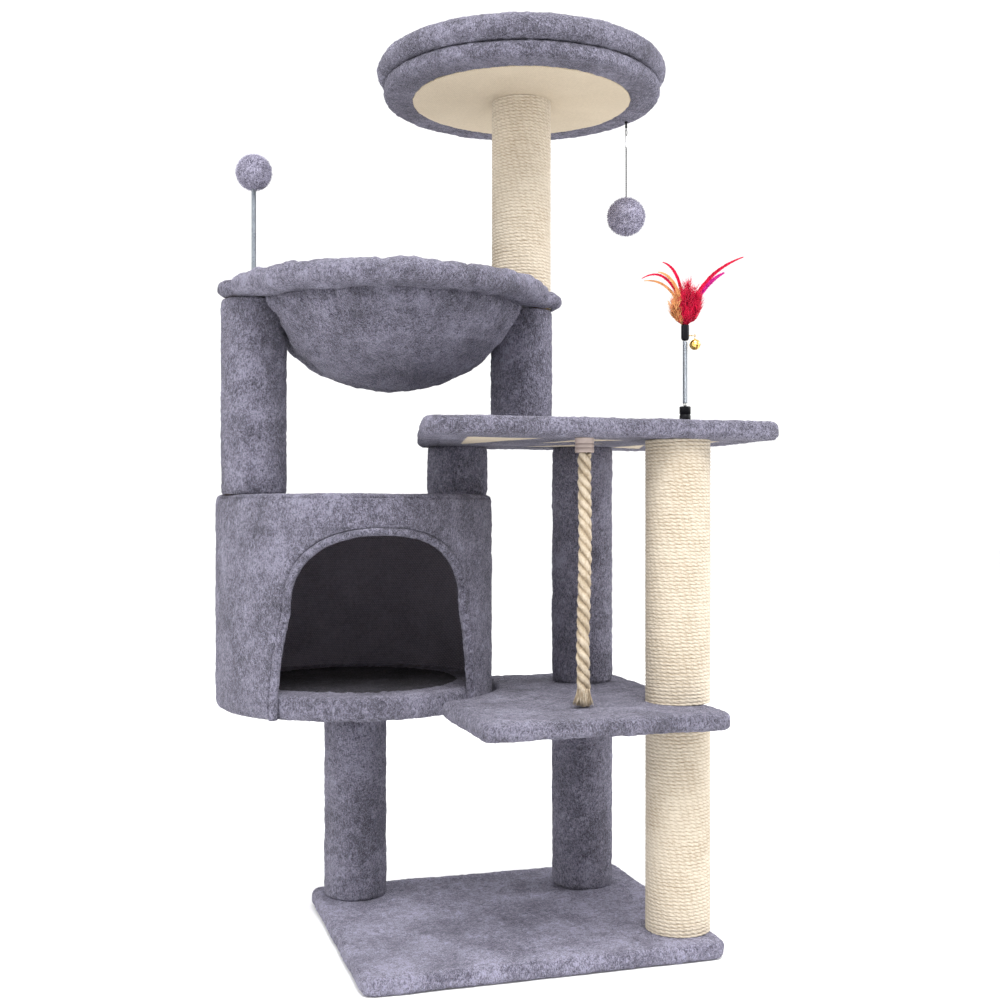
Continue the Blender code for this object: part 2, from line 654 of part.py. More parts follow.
def make_bag(mat):
    """The plush bag and its rim, one body, cut out for the hoop, the perch post and the wand."""
    bm = bmesh.new()
    at = (HAMMOCK_CENTRE.x, HAMMOCK_CENTRE.y, 0.0)
    angles = [2 * math.pi * i / BAG_SIDES for i in range(BAG_SIDES)]
    profiles = [bag_profile(angle) for angle in angles]
    loops = []
    for level in range(len(profiles[0])):
        if profiles[0][level][0] == 0.0:
            loops.append([bm.verts.new((0.0, 0.0, profiles[0][level][1]))])
            continue
        loop = []
        for angle, profile in zip(angles, profiles):
            radius, z = profile[level]
            turned = angle + HAMMOCK_TURN
            loop.append(bm.verts.new((radius * math.cos(turned), radius * math.sin(turned), z)))
        loops.append(loop)
    for first, second in zip(loops, loops[1:]):
        bridge(bm, first, second)
    bag = add_object("hammock_bag", finish_mesh("hammock_bag", bm), mat, at)
    channel = [
        (HOOP_RADIUS + HOOP_WIDTH / 2 + GAP, HOOP_TOP + GAP),
        (HOOP_RADIUS + HOOP_WIDTH / 2 + GAP, HOOP_Z - GAP),
        (HOOP_RADIUS - HOOP_WIDTH / 2 - GAP, HOOP_Z - GAP),
        (HOOP_RADIUS - HOOP_WIDTH / 2 - GAP, HOOP_TOP + GAP),
    ]
    combine(bag, as_tool(lathe("hoop_channel", channel, mat, at, CONDO_SIDES)), "DIFFERENCE")
    low = HOOP_Z - BOARD
    high = HOOP_Z + 2 * RIM_HEIGHT
    clear = SISAL_POST + GAP
    post_hole = cylinders("perch_post_hole", [BRIDGE_PLACE], clear, low, high, POST_SIDES)
    combine(bag, post_hole, "DIFFERENCE")
    drill(bag, [HAMMOCK_PLACE], low, high, WAND_COLLAR_RADIUS + STUD_CLEARANCE)


def make_hoop(mat):
    """A flat steel ring on the tops of the hammock post and the bridge post."""
    outer = HOOP_RADIUS + HOOP_WIDTH / 2
    inner = HOOP_RADIUS - HOOP_WIDTH / 2
    profile = [(outer, HOOP_TOP), (outer, HOOP_Z), (inner, HOOP_Z), (inner, HOOP_TOP)]
    hoop = lathe("hammock_hoop", profile, mat, (HAMMOCK_CENTRE.x, HAMMOCK_CENTRE.y, 0.0), CONDO_SIDES)
    drill(hoop, [HAMMOCK_PLACE, BRIDGE_PLACE], HOOP_Z - BOARD, HOOP_TOP + BOARD)


# ---------------------------------------------------------------- perch
def make_perch(mats):
    at = (BRIDGE_PLACE.x, BRIDGE_PLACE.y, 0.0)
    low = PERCH_Z
    high = PERCH_TOP
    inner = PERCH_RADIUS - SKIN
    hem = PERCH_RADIUS - PERCH_HEM
    board = [
        (0.0, low + SKIN + BOARD),
        (inner - GAP, low + SKIN + BOARD),
        (inner - GAP, low + SKIN),
        (BORE_RADIUS, low + SKIN),
        (BORE_RADIUS, low + SKIN + BOARD - GAP),
        (0.0, low + SKIN + BOARD - GAP),
    ]
    lathe("perch_board", board, mats["wood"], at, PERCH_SIDES)
    band = [
        (0.0, high),
        (PERCH_RADIUS - EDGE_ROUND, high),
        (PERCH_RADIUS, high - EDGE_ROUND),
        (PERCH_RADIUS, low + EDGE_ROUND),
        (PERCH_RADIUS - EDGE_ROUND, low),
        (hem, low),
        (hem, low + PILE),
        (inner, low + PILE),
        (inner, high - PILE),
        (0.0, high - PILE),
    ]
    lathe("perch_band", band, mats["plush"], at, PERCH_SIDES)
    liner = [
        (hem - GAP, low + PILE),
        (hem - GAP, low),
        (BORE_RADIUS, low),
        (BORE_RADIUS, low + PILE),
    ]
    lathe("perch_liner", liner, mats["liner"], at, PERCH_SIDES)
    make_bolster(mats["plush"], at)
    seat = PERCH_TOP + GAP
    radius = BOLSTER_INNER - PILE
    cushion = [
        (0.0, seat + CUSHION),
        (radius * 0.75, seat + CUSHION * 0.9),
        (radius, seat + CUSHION * 0.45),
        (radius, seat),
        (0.0, seat),
    ]
    lathe("perch_cushion", cushion, mats["plush"], at, PERCH_SIDES)


def make_bolster(mat, at):
    """A padded plush ring on the perch, round in section and flat where it rests."""
    seat = PERCH_TOP + GAP
    middle = (BOLSTER_RADIUS + BOLSTER_INNER) / 2
    half = (BOLSTER_RADIUS - BOLSTER_INNER) / 2
    profile = []
    steps = 8
    lowest = math.sin(math.radians(-42))
    for i in range(steps + 1):
        angle = math.radians(-42 + 264 * i / steps)
        rise = BOLSTER_HEIGHT * (math.sin(angle) - lowest) / (1 - lowest)
        profile.append((middle + half * math.cos(angle), seat + rise))
    lathe("perch_bolster", profile, mat, at, PERCH_SIDES)


# ---------------------------------------------------------------- wands, bell and pompoms
def ball(name, radius, height, mat, place, sides=16, rows=10):
    """A ball whose centre is above or below its origin."""
    profile = [(0.0, height + radius)]
    for i in range(1, rows):
        angle = math.pi * i / rows
        profile.append((radius * math.sin(angle), height + radius * math.cos(angle)))
    profile.append((0.0, height - radius))
    return lathe(name, profile, mat, place, sides)


def rod(name, radius, low, high, mat, place, sides=HOLE_SIDES):
    return lathe(name, [(0.0, high), (radius, high), (radius, low), (0.0, low)], mat, place, sides)


def spring(name, radius, low, high, mat, place):
    """A close coiled spring, as the tube that its coils fill."""
    inner = radius - SPRING_WALL
    profile = [(radius, high), (radius, low), (inner, low), (inner, high)]
    return lathe(name, profile, mat, place, HOLE_SIDES)


def make_pompom_wand(mats):
    """The spring wand on the hammock post: a fixed socket, and a foot and spring that sway on it."""
    bottom = HOOP_Z - GAP - PLUG
    seat = HOOP_TOP + GAP
    top = HOOP_Z + RIM_HEIGHT + GAP
    pocket = FOOT_RADIUS + 2 * STUD_CLEARANCE
    socket = [
        (0.0, top - FOOT_RADIUS),
        (pocket, top - FOOT_RADIUS),
        (pocket, top),
        (WAND_COLLAR_RADIUS, top),
        (WAND_COLLAR_RADIUS, seat),
        (STUD_RADIUS, seat),
        (STUD_RADIUS, bottom),
        (0.0, bottom),
    ]
    lathe("wand_socket", socket, mats["black"], (HAMMOCK_PLACE.x, HAMMOCK_PLACE.y, 0.0), HOLE_SIDES)
    pivot = (HAMMOCK_PLACE.x, HAMMOCK_PLACE.y, top + FOOT_RADIUS)
    ball("wand_foot", FOOT_RADIUS, 0.0, mats["zinc"], pivot, 10, 6)
    end = WAND_LENGTH - WAND_POMPOM_RADIUS - GAP
    spring("wand_spring", WAND_SPRING_RADIUS, FOOT_GAP, end, mats["zinc"], pivot)
    ball("wand_pompom", WAND_POMPOM_RADIUS, WAND_LENGTH, mats["pompom"], pivot)


def make_hanging_pompom(mats):
    """The pompom on a string under the perch, which swings from its tab."""
    pivot = (STRING_PLACE.x, STRING_PLACE.y, PERCH_Z - 2 * GAP - STRING_TAB_WIDTH / 2)
    tab = (STRING_TAB_WIDTH / 2, -STRING_TAB)
    half = STRING_TAB_WIDTH / 2
    profile = [(0.0, half * 0.6), (half * 0.8, half * 0.5), (half, -half), tab, (0.0, -STRING_TAB)]
    lathe("string_tab", profile, mats["black"], pivot, 8)
    crimp_top = -STRING_TAB - STRING_LOOP
    crimp_end = crimp_top - CRIMP
    loop = -STRING_TAB - GAP
    crimp = [
        (0.0, loop),
        (STRING_RADIUS, loop),
        (STRING_RADIUS, crimp_top),
        (CRIMP_RADIUS, crimp_top),
        (CRIMP_RADIUS, crimp_end),
        (0.0, crimp_end),
    ]
    lathe("string_crimp", crimp, mats["clear"], pivot, 10)
    centre = PERCH_Z - STRING_DROP - pivot[2]
    string_end = centre + HANGING_POMPOM_RADIUS + GAP
    start = crimp_end - GAP
    route = [(0.0, 0.0, start + (string_end - start) * i / 12) for i in range(13)]
    cord("pompom_string", route, STRING_RADIUS, mats["black"], pivot)
    ball("hanging_pompom", HANGING_POMPOM_RADIUS, centre, mats["pompom"], pivot)


def cord(name, route, radius, mat, place):
    curve = bpy.data.curves.new(name, "CURVE")
    curve.dimensions = "3D"
    curve.bevel_depth = radius
    curve.bevel_resolution = 2
    curve.use_fill_caps = True
    spline = curve.splines.new("POLY")
    spline.points.add(len(route) - 1)
    for point, co in zip(spline.points, route):
        point.co = (*co, 1.0)
    return add_object(name, curve, mat, place)


def make_feather_wand(mats):
    """The feather wand on the upper platform: a fixed socket, and a spring stem that sways on it."""
    seat = UPPER_TOP + GAP
    top = seat + FEATHER_SOCKET
    pocket = FOOT_RADIUS + 2 * STUD_CLEARANCE
    socket = [
        (0.0, top - FOOT_RADIUS),
        (pocket, top - FOOT_RADIUS),
        (pocket, top),
        (FEATHER_SOCKET_RADIUS, top),
        (FEATHER_SOCKET_RADIUS, seat),
        (FEATHER_SCREW_RADIUS, seat),
        (FEATHER_SCREW_RADIUS, seat - FEATHER_SCREW),
        (0.0, seat - FEATHER_SCREW),
    ]
    lathe("feather_socket", socket, mats["black"], (FEATHER_PLACE.x, FEATHER_PLACE.y, 0.0), 16)
    pivot = Vector((FEATHER_PLACE.x, FEATHER_PLACE.y, top + FOOT_RADIUS))
    ball("feather_foot", FOOT_RADIUS, 0.0, mats["zinc"], pivot, 10, 6)
    end = FOOT_GAP + FEATHER_SPRING
    spring("feather_spring", FEATHER_SPRING_RADIUS, FOOT_GAP, end, mats["zinc"], pivot)
    low = end + GAP
    cap = rod("feather_cap", FEATHER_CAP_RADIUS, low, low + FEATHER_CAP, mats["black"], pivot, 16)
    eyelet = make_eyelet(low + FEATHER_CAP / 3, pivot)
    combine(cap, eyelet, "UNION")
    make_feathers(low + FEATHER_CAP + GAP, mats["feather"], pivot)
    make_bell(pivot + Vector((BELL_REACH, 0.0, low + FEATHER_CAP / 3)), mats["gold"])


def make_eyelet(height, pivot):
    """A small lug on the side of the cap, which the bell hangs at."""
    bm = bmesh.new()
    half = STRING_RADIUS
    reach = BELL_REACH - 2 * half - GAP
    root = FEATHER_CAP_RADIUS / 2
    corners = [(root, -half), (reach, -half), (reach, half), (root, half)]
    loops = [[bm.verts.new((x, y, height + z)) for x, y in corners] for z in (-half, half)]
    bridge(bm, loops[0], loops[1])
    bm.faces.new(loops[0])
    bm.faces.new(loops[1])
    obj = bpy.data.objects.new("eyelet_lug", finish_mesh("eyelet_lug", bm))
    obj.location = pivot
    return as_tool(obj)


def make_feathers(height, mat, pivot):
    """The spray of feathers, an upright fan with one point for each group of plumes."""
    tips = [(-0.055, 0.056), (-0.029, 0.079), (0.006, 0.070), (0.050, 0.067), (0.076, 0.086)]
    hollows = [(-0.018, 0.046), (-0.006, 0.052), (0.016, 0.052), (0.034, 0.057)]
    outline = [(FEATHER_ROOT, 0.0), (0.016, 0.020), (0.020, 0.038)]
    for i in range(len(tips) - 1, -1, -1):
        outline.append(tips[i])
        if i > 0:
            outline.append(hollows[i - 1])
    outline += [(-0.018, 0.030), (-0.013, 0.014), (-FEATHER_ROOT, 0.0)]
    turn = math.radians(FEATHER_TURN)
    along = Vector((math.cos(turn), math.sin(turn), 0.0))
    across = Vector((-math.sin(turn), math.cos(turn), 0.0))
    bm = bmesh.new()
    loops = []
    for side in (-0.5, 0.5):
        offset = across * (FEATHER_DEPTH * side) + Vector((0.0, 0.0, height))
        loops.append([bm.verts.new(along * x + offset + Vector((0.0, 0.0, z))) for x, z in outline])
    bridge(bm, loops[0], loops[1])
    bm.faces.new(loops[0])
    bm.faces.new(loops[1])
    add_object("feathers", finish_mesh("feathers", bm), mat, pivot)


def make_bell(place, mat):
    """A round bell with a lug that hangs beside the cap's eyelet."""
    lug = 2 * STRING_RADIUS
    rise = BELL_DROP - BELL_RADIUS
    profile = [(0.0, lug), (lug * 0.8, lug * 0.5), (lug, -lug * 0.4), (lug * 0.8, -rise)]
    rows = 8
    for i in range(1, rows):
        angle = math.pi * i / rows
        radius = BELL_RADIUS * math.sin(angle)
        if radius > lug:
            profile.append((radius, BELL_RADIUS * math.cos(angle) - BELL_DROP))
    profile.append((0.0, -BELL_DROP - BELL_RADIUS))
    lathe("bell", profile, mat, place, 12)


# ---------------------------------------------------------------- play rope
def make_rope(mats):
    """A thick rope that hangs from a ferrule under the upper platform."""
    bore = ROPE_RADIUS + ROPE_CLEARANCE
    outer = bore + FERRULE_WALL
    top = UPPER_Z - GAP
    mouth = top - FERRULE
    roof = top - PILE
    ferrule = [
        (0.0, top + SKIN + BOARD / 3),
        (FEATHER_SCREW_RADIUS, top + SKIN + BOARD / 3),
        (FEATHER_SCREW_RADIUS, top),
        (outer, top),
        (outer, mouth),
        (bore, mouth),
        (bore, roof),
        (0.0, roof),
    ]
    lathe("rope_ferrule", ferrule, mats["ferrule"], (ROPE_PLACE.x, ROPE_PLACE.y, 0.0), 16)
    pivot = (ROPE_PLACE.x, ROPE_PLACE.y, mouth)
    ball("rope_whipping", WHIPPING_RADIUS, 0.0, mats["sisal"], pivot, 10, 6)
    start = -WHIPPING_GAP
    end = MIDDLE_TOP + ROPE_HEIGHT - mouth
    route = []
    points = 15
    for i in range(points):
        share = i / (points - 1)
        sway = 0.0022 * math.sin(2 * math.pi * share) * share
        route.append((sway, -sway / 2, start + (end - start) * share))
    cord("play_rope", route, ROPE_RADIUS, mats["sisal"], pivot)


def main():
    clear_scene()
    mats = {
        "plush": material("plush", (0.27, 0.26, 0.33), 0.95),
        "pompom": material("pompom", (0.27, 0.26, 0.33), 0.95),
        "sisal": material("sisal", (0.75, 0.62, 0.41), 0.9),
        "liner": material("liner", (0.64, 0.52, 0.36), 0.9),
        "tube": material("tube", (0.43, 0.32, 0.21), 0.9),
        "wood": material("wood", (0.50, 0.36, 0.21), 0.7),
        "zinc": material("zinc", (0.6, 0.6, 0.6), 0.35, 1.0),
        "black": material("black", (0.02, 0.02, 0.022), 0.4),
        "clear": material("clear", (0.8, 0.8, 0.8), 0.3),
        "feather": material("feather", (0.6, 0.01, 0.06), 0.8),
        "gold": material("gold", (0.8, 0.5, 0.12), 0.25, 1.0),
        "ferrule": material("ferrule", (0.36, 0.28, 0.25), 0.45),
    }
    make_base(mats)
    make_posts(mats)
    make_middle(mats)
    make_upper(mats)
    make_condo(mats)
    make_hoop(mats["black"])
    make_bag(mats["plush"])
    make_perch(mats)
    make_pompom_wand(mats)
    make_hanging_pompom(mats)
    make_feather_wand(mats)
    make_rope(mats)


main()
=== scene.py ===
import random
from math import asin, atan2, copysign, cos, exp, floor, pi, radians, sin, sqrt, tau

import bmesh
import bpy
import numpy as np
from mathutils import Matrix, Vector, kdtree
from mathutils.noise import noise


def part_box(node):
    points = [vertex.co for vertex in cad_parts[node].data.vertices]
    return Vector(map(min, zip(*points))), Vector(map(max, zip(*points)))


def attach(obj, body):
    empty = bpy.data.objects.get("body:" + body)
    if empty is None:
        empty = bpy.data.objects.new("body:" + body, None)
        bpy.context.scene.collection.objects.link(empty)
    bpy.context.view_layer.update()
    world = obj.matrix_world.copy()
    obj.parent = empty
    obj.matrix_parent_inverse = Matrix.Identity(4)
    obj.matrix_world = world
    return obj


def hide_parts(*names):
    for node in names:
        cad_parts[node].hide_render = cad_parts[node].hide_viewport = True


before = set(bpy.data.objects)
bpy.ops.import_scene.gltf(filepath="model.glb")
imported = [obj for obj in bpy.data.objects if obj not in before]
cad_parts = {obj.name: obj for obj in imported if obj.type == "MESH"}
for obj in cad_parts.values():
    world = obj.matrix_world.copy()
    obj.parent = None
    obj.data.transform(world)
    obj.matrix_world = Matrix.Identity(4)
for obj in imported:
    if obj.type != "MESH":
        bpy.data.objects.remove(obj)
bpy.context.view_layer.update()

# ---------------------------------------------------------------- sizes
FLOOR_REACH = 14.0  # half the studio floor
GRID = 0.003  # spacing of the points over a plush surface
LINING_GRID = 0.0022
PADDED_GRID = 0.0055
SOFTENING = 3  # times that a cover's corners are smoothed
COVER_LIFT, LINING_LIFT = 0.0006, 0.0002  # lowest points, clear of the floor
PILE_LAYERS = [(0.040, 0.0009), (0.013, 0.0006), (0.0056, 0.0010)]  # (size, height) of its tufts
TUCK = 0.0016  # how far a sleeve's ends draw in
SLEEVE = 0.0032

SISAL_PITCH = 0.0045
SISAL_DEPTH = 0.0011
SISAL_PLY = 0.0082  # length of one turn of the cord's own twist

CONDO_SIDES = 40  # of the CAD's round covers
PERCH_SIDES = 32
DOOR_HALF_WIDTH = 0.1225
DOOR_SHOULDER = 0.108
DOOR_SHOULDER_HEIGHT = 0.135
DOOR_HEIGHT = 0.230
DOOR_OPENING = 0.0102  # the cut in the wall, past the welt
WELT_HALF_WIDTH = 0.0052
WELT_STEP = 0.0022
STITCH = 0.009  # from one pucker of the welt to the next
ROOF_LAP = 0.0020  # the wall cover, pulled up over the roof's edge
FLOOR_PLUSH = 0.040  # width of the plush at the edge of the floor, round its darker middle of painted shade
WELT_HALF_DEPTH = 0.0052

UPPER_HEM = 0.030  # the plush turned in under the upper platform
EDGE_POINTS = 24  # along each edge of a lining, to measure its hem from

PLUSH_POST = 0.042
SISAL_POST = 0.0406
HOOP_HALF_WIDTH = 0.008
RIM_REACH = 0.031
RIM_DROP = 0.004
SEAM_TURN = radians(-62)  # where round the rim its sewn groove lies
RIM_GATHER = 0.013  # the rim round the bridge post, past the post
RIM_DOME = 0.0045  # the rim over the hammock post, past the post
BAG_INSET = 0.011
BAG_WALL = 0.004
BAG_POST_CLEARANCE = 0.0083
BAG_FLARE = 0.007  # how far the bag's top spreads towards its rim
PINCHES = 44
WAND_HOLE = 0.0074  # radius of the hole in the rim for the wand's socket

PRESSURE = 4.0  # inside the perch's padding
CLOTH_FRAMES = 18

ROPE_DIAMETER = 0.018
ROPE_LENGTH = 0.300
ROPE_TWIST = 0.042  # length of one turn of a strand
ROUTE_POINTS = 15
ROPE_RINGS = 220
ROPE_STRAND, ROPE_OFFSET = 0.0045, 0.0038  # a strand's radius, and its distance from the rope's line
ROPE_TUCKED, ROPE_FRAYED, ROPE_END = 0.014, 0.93, 0.996  # shares of the length
ROPE_TUFT, ROPE_FUZZ = 320, 260  # loose fibres at its end and along it
STRING_DIAMETER = 0.002
POMPOM_FIBRES = 5200

WIRE = 0.0009  # spring wire
COIL_TUCK = 0.0024  # how far a spring reaches down past its CAD tube, to its socket
POCKET = 0.0036  # radius of the hollow that a wand's foot sits in
WAND_STUD, FEATHER_SCREW = 0.0039, 0.0024  # radii
CAP_RADIUS = 0.0050
BELL_RADIUS, BELL_WALL = 0.0072, 0.00045
FACING = radians(-17)  # the way the feathers spread
PLUME_STATIONS = 150
DOWN_STEMS, DOWN_BARBS = 34, 190


# ---------------------------------------------------------------- mesh tools
def loft(loops, wrap=False):
    """Points and faces of a surface through closed loops. A loop of one point closes the surface."""
    points, faces, starts = [], [], []
    for loop in loops:
        starts.append(len(points))
        points.extend(tuple(p) for p in loop)
    pairs = [(i, i + 1) for i in range(len(loops) - 1)]
    if wrap:
        pairs.append((len(loops) - 1, 0))
    for first, second in pairs:
        a, b = starts[first], starts[second]
        n = max(len(loops[first]), len(loops[second]))
        for i in range(n):
            j = (i + 1) % n
            if len(loops[first]) == 1:
                faces.append((a, b + i, b + j))
            elif len(loops[second]) == 1:
                faces.append((a + i, a + j, b))
            else:
                faces.append((a + i, a + j, b + j, b + i))
    return points, faces


def turned(profile, centre, sides):
    """A surface of (radius, z) points turned round an upright axis."""
    loops = [ring(centre, radius, z, sides if radius else 1) for radius, z in profile]
    return loft(loops, wrap=profile[0][0] > 0.0)


def swept(path, radii, sides=8):
    """A closed tube along a path, with a radius at each point."""
    path = [Vector(p) for p in path]
    last = len(path) - 1
    if isinstance(radii, float):
        radii = [radii] * len(path)
    loops = [[path[0]]]
    side = None
    for i, (point, radius) in enumerate(zip(path, radii)):
        along = (path[min(i + 1, last)] - path[max(i - 1, 0)]).normalized()
        side = along.orthogonal() if side is None else side - along * side.dot(along)
        side.normalize()
        across = along.cross(side)
        turns = [tau * k / sides for k in range(sides)]
        loops.append([point + radius * (cos(t) * side + sin(t) * across) for t in turns])
    loops.append([path[-1]])
    return loft(loops)


def joined(parts):
    """One list of points and of faces from several."""
    points, faces = [], []
    for part_points, part_faces in parts:
        start = len(points)
        points.extend(part_points)
        faces.extend(tuple(start + i for i in face) for face in part_faces)
    return points, faces


def to_mesh(name, surface, weld=0.0):
    """A smooth mesh with its faces turned outwards."""
    mesh = bpy.data.meshes.new(name)
    mesh.from_pydata(surface[0], [], surface[1])
    bm = bmesh.new()
    bm.from_mesh(mesh)
    if weld:
        bmesh.ops.remove_doubles(bm, verts=bm.verts, dist=weld)
    bmesh.ops.recalc_face_normals(bm, faces=bm.faces)
    for face in bm.faces:
        face.smooth = True
    bm.to_mesh(mesh)
    bm.free()
    return mesh


def linked(name, data):
    obj = bpy.data.objects.new(name, data)
    bpy.context.scene.collection.objects.link(obj)
    return obj


def piece(name, made, look, body, *nodes):
    """A finished piece that rides on a CAD body and stands for CAD nodes."""
    mesh = made if isinstance(made, bpy.types.Mesh) else to_mesh(name, made)
    obj = linked(name, mesh)
    mesh.materials.append(MATS[look])
    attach(obj, body)
    if nodes:
        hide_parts(*nodes)
    return obj


def applied(obj):
    """The mesh of an object with its modifiers, which are then taken off."""
    bpy.context.view_layer.update()
    graph = bpy.context.evaluated_depsgraph_get()
    mesh = bpy.data.meshes.new_from_object(obj.evaluated_get(graph))
    obj.modifiers.clear()
    old = obj.data
    obj.data = mesh
    bpy.data.meshes.remove(old)
    return mesh


def taken(obj):
    """The same, and the object is removed."""
    mesh = applied(obj)
    bpy.data.objects.remove(obj)
    return mesh


def add_grid(obj, size):
    voxel = obj.modifiers.new("grid", "REMESH")
    voxel.mode = "VOXEL"
    voxel.voxel_size = size


def inlay(mesh, look, inside):
    """Gives another look to the faces whose middle is inside."""
    mesh.materials.append(MATS[look])
    for face in mesh.polygons:
        if inside(face.center):
            face.material_index = 1


def smooth(mesh):
    for face in mesh.polygons:
        face.use_smooth = True
    return mesh


def ray(turn):
    return Vector((cos(turn), sin(turn), 0.0))


def ring(centre, radius, z, sides):
    """A level loop of points round an upright axis."""
    turns = [tau * i / sides for i in range(sides)]
    return [(centre[0] + radius * cos(t), centre[1] + radius * sin(t), z) for t in turns]


def coordinates(mesh):
    co = np.empty(len(mesh.vertices) * 3)
    mesh.vertices.foreach_get("co", co)
    return co.reshape(-1, 3)


def set_coordinates(mesh, co):
    mesh.vertices.foreach_set("co", co.ravel())
    mesh.update()


def set_lift(mesh, values):
    """How far each point stands out, from 0 to 1, for the material."""
    attribute = mesh.attributes.get("lift") or mesh.attributes.new("lift", "FLOAT", "POINT")
    attribute.data.foreach_set("value", np.asarray(values, np.float32))


def ruffle(mesh, layers, amount=None):
    """Moves points along their normals by layers of noise, and keeps the lift for the material."""
    co = coordinates(mesh)
    normal = np.empty(len(mesh.vertices) * 3)
    mesh.vertices.foreach_get("normal", normal)
    normal = normal.reshape(-1, 3)
    lift = np.zeros(len(co))
    for size, height in layers:
        lift += height * np.array([noise(Vector(p)) for p in co / size])
    set_lift(mesh, 0.5 + lift / sum(height for _, height in layers))
    if amount is not None:
        lift *= amount
    set_coordinates(mesh, co + normal * lift[:, None])
    return mesh


def column(node):
    """(x, y) of a CAD node's middle, its lowest and highest z, and half its width."""
    low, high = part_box(node)
    middle = (low + high) / 2
    return Vector((middle.x, middle.y)), low.z, high.z, (high.x - low.x) / 2


# ---------------------------------------------------------------- material tools
class Nodes:
    """A material with a Principled shader, and short ways to add nodes to it."""

    def __init__(self, name, **values):
        self.mat = bpy.data.materials.new(name)
        self.mat.use_nodes = True
        self.tree = self.mat.node_tree
        self.shader = self.tree.nodes["Principled BSDF"]
        for key, value in values.items():
            socket = key.replace("_", " ").title().replace("Ior", "IOR")
            self.shader.inputs[socket].default_value = value
        self.place = self.add("ShaderNodeTexCoord").outputs["Object"]

    def add(self, kind, **inputs):
        node = self.tree.nodes.new(kind)
        for key, value in inputs.items():
            self.join(value, node.inputs[key])
        return node

    def join(self, value, socket):
        if isinstance(value, bpy.types.NodeSocket):
            self.tree.links.new(value, socket)
        else:
            socket.default_value = value

    def scaled(self, scale, turn=(0.0, 0.0, 0.0)):
        node = self.add("ShaderNodeMapping", Vector=self.place, Scale=scale, Rotation=turn)
        return node.outputs["Vector"]

    def noise(self, scale, detail=2.0, distortion=0.0, vector=None):
        node = self.add("ShaderNodeTexNoise", Scale=scale, Detail=detail, Distortion=distortion)
        self.join(vector or self.place, node.inputs["Vector"])
        return node.outputs["Fac"]

    def wave(self, scale, direction, distortion=0.0, vector=None):
        node = self.add("ShaderNodeTexWave", Scale=scale, Distortion=distortion, Detail=1.0)
        node.bands_direction = direction
        self.join(vector or self.place, node.inputs["Vector"])
        return node.outputs["Fac"]

    def math(self, operation, first, second):
        node = self.tree.nodes.new("ShaderNodeMath")
        node.operation = operation
        self.join(first, node.inputs[0])
        self.join(second, node.inputs[1])
        return node.outputs[0]

    def total(self, terms):
        """The sum of (socket, weight) pairs."""
        made = None
        for socket, weight in terms:
            part = self.math("MULTIPLY", socket, weight)
            made = part if made is None else self.math("ADD", made, part)
        return made

    def attribute(self, name):
        node = self.tree.nodes.new("ShaderNodeAttribute")
        node.attribute_name = name
        return node.outputs["Fac"]

    def colours(self, fac, stops):
        """The base colour from a ramp of (position, colour)."""
        node = self.tree.nodes.new("ShaderNodeValToRGB")
        ramp = node.color_ramp
        while len(ramp.elements) < len(stops):
            ramp.elements.new(0.5)
        for element, (position, colour) in zip(ramp.elements, stops):
            element.position = position
            element.color = (*colour, 1.0)
        self.join(fac, node.inputs["Fac"])
        self.join(node.outputs["Color"], self.shader.inputs["Base Color"])

    def rough(self, fac, low, high):
        node = self.add("ShaderNodeMapRange", Value=fac)
        node.inputs["To Min"].default_value = low
        node.inputs["To Max"].default_value = high
        self.join(node.outputs["Result"], self.shader.inputs["Roughness"])

    def bump(self, height, distance, strength=1.0):
        node = self.add("ShaderNodeBump", Height=height, Distance=distance, Strength=strength)
        self.join(node.outputs["Normal"], self.shader.inputs["Normal"])


def shade(colour, factor):
    return tuple(min(1.0, c * factor) for c in colour)


def plush(name, dark, light, sheen=0.38):
    """Short pile: soft brushed patches, with a fine grain of tufts and fibres."""
    n = Nodes(name, sheen_weight=sheen, sheen_roughness=0.35, sheen_tint=(0.78, 0.76, 0.92, 1.0))
    patches = n.noise(15.0, 3.0, 1.0)
    swirls = n.noise(70.0, 3.0, 1.4)
    locks = n.noise(165.0, 2.0, 2.2)
    tufts = n.noise(360.0, 3.0, 1.6)
    brushed = n.noise(1.0, 2.0, 0.6, n.scaled((760.0, 760.0, 250.0), (0.5, 0.4, 0.0)))
    terms = [(patches, 0.95), (swirls, 0.75), (locks, 1.0), (tufts, 1.7), (brushed, 1.4)]
    terms.append((n.attribute("lift"), 0.5))
    fac = n.math("SUBTRACT", n.total(terms), 2.67)
    middle = tuple(a * 0.62 + b * 0.38 for a, b in zip(dark, light))
    n.colours(fac, [(0.05, dark), (0.48, middle), (0.92, light)])
    n.rough(swirls, 0.86, 1.0)
    n.bump(n.total([(swirls, 0.3), (locks, 1.5), (tufts, 1.5), (brushed, 1.0)]), 0.0055, 1.0)
    return n.mat


def fibre(name, dark, light, along):
    """Twisted plant fibre, with painted shade between its turns taken from the lift attribute. along scales
    the streaks in X, Y and Z.
    """
    n = Nodes(name, sheen_weight=0.12, sheen_roughness=0.5, specular_ior_level=0.25)
    streaks = n.noise(1.0, 3.0, 0.8, n.scaled(along))
    patches = n.noise(22.0, 3.0, 0.4)
    flecks = n.noise(620.0, 3.0, 0.6)
    # painted shade: lift is low in the grooves between turns and strands, coloured darker, and high on their
    # crowns, coloured lighter
    depth = n.attribute("lift")
    fac = n.total([(depth, 0.60), (streaks, 0.45), (patches, 0.3), (flecks, 0.45)])
    fac = n.math("SUBTRACT", fac, 0.45)
    ends = shade(dark, 0.55), shade(light, 1.12)
    n.colours(fac, [(0.02, ends[0]), (0.32, dark), (0.70, light), (1.0, ends[1])])
    n.rough(streaks, 0.78, 0.95)
    n.bump(n.total([(streaks, 0.8), (flecks, 0.8)]), 0.0012, 0.9)
    return n.mat


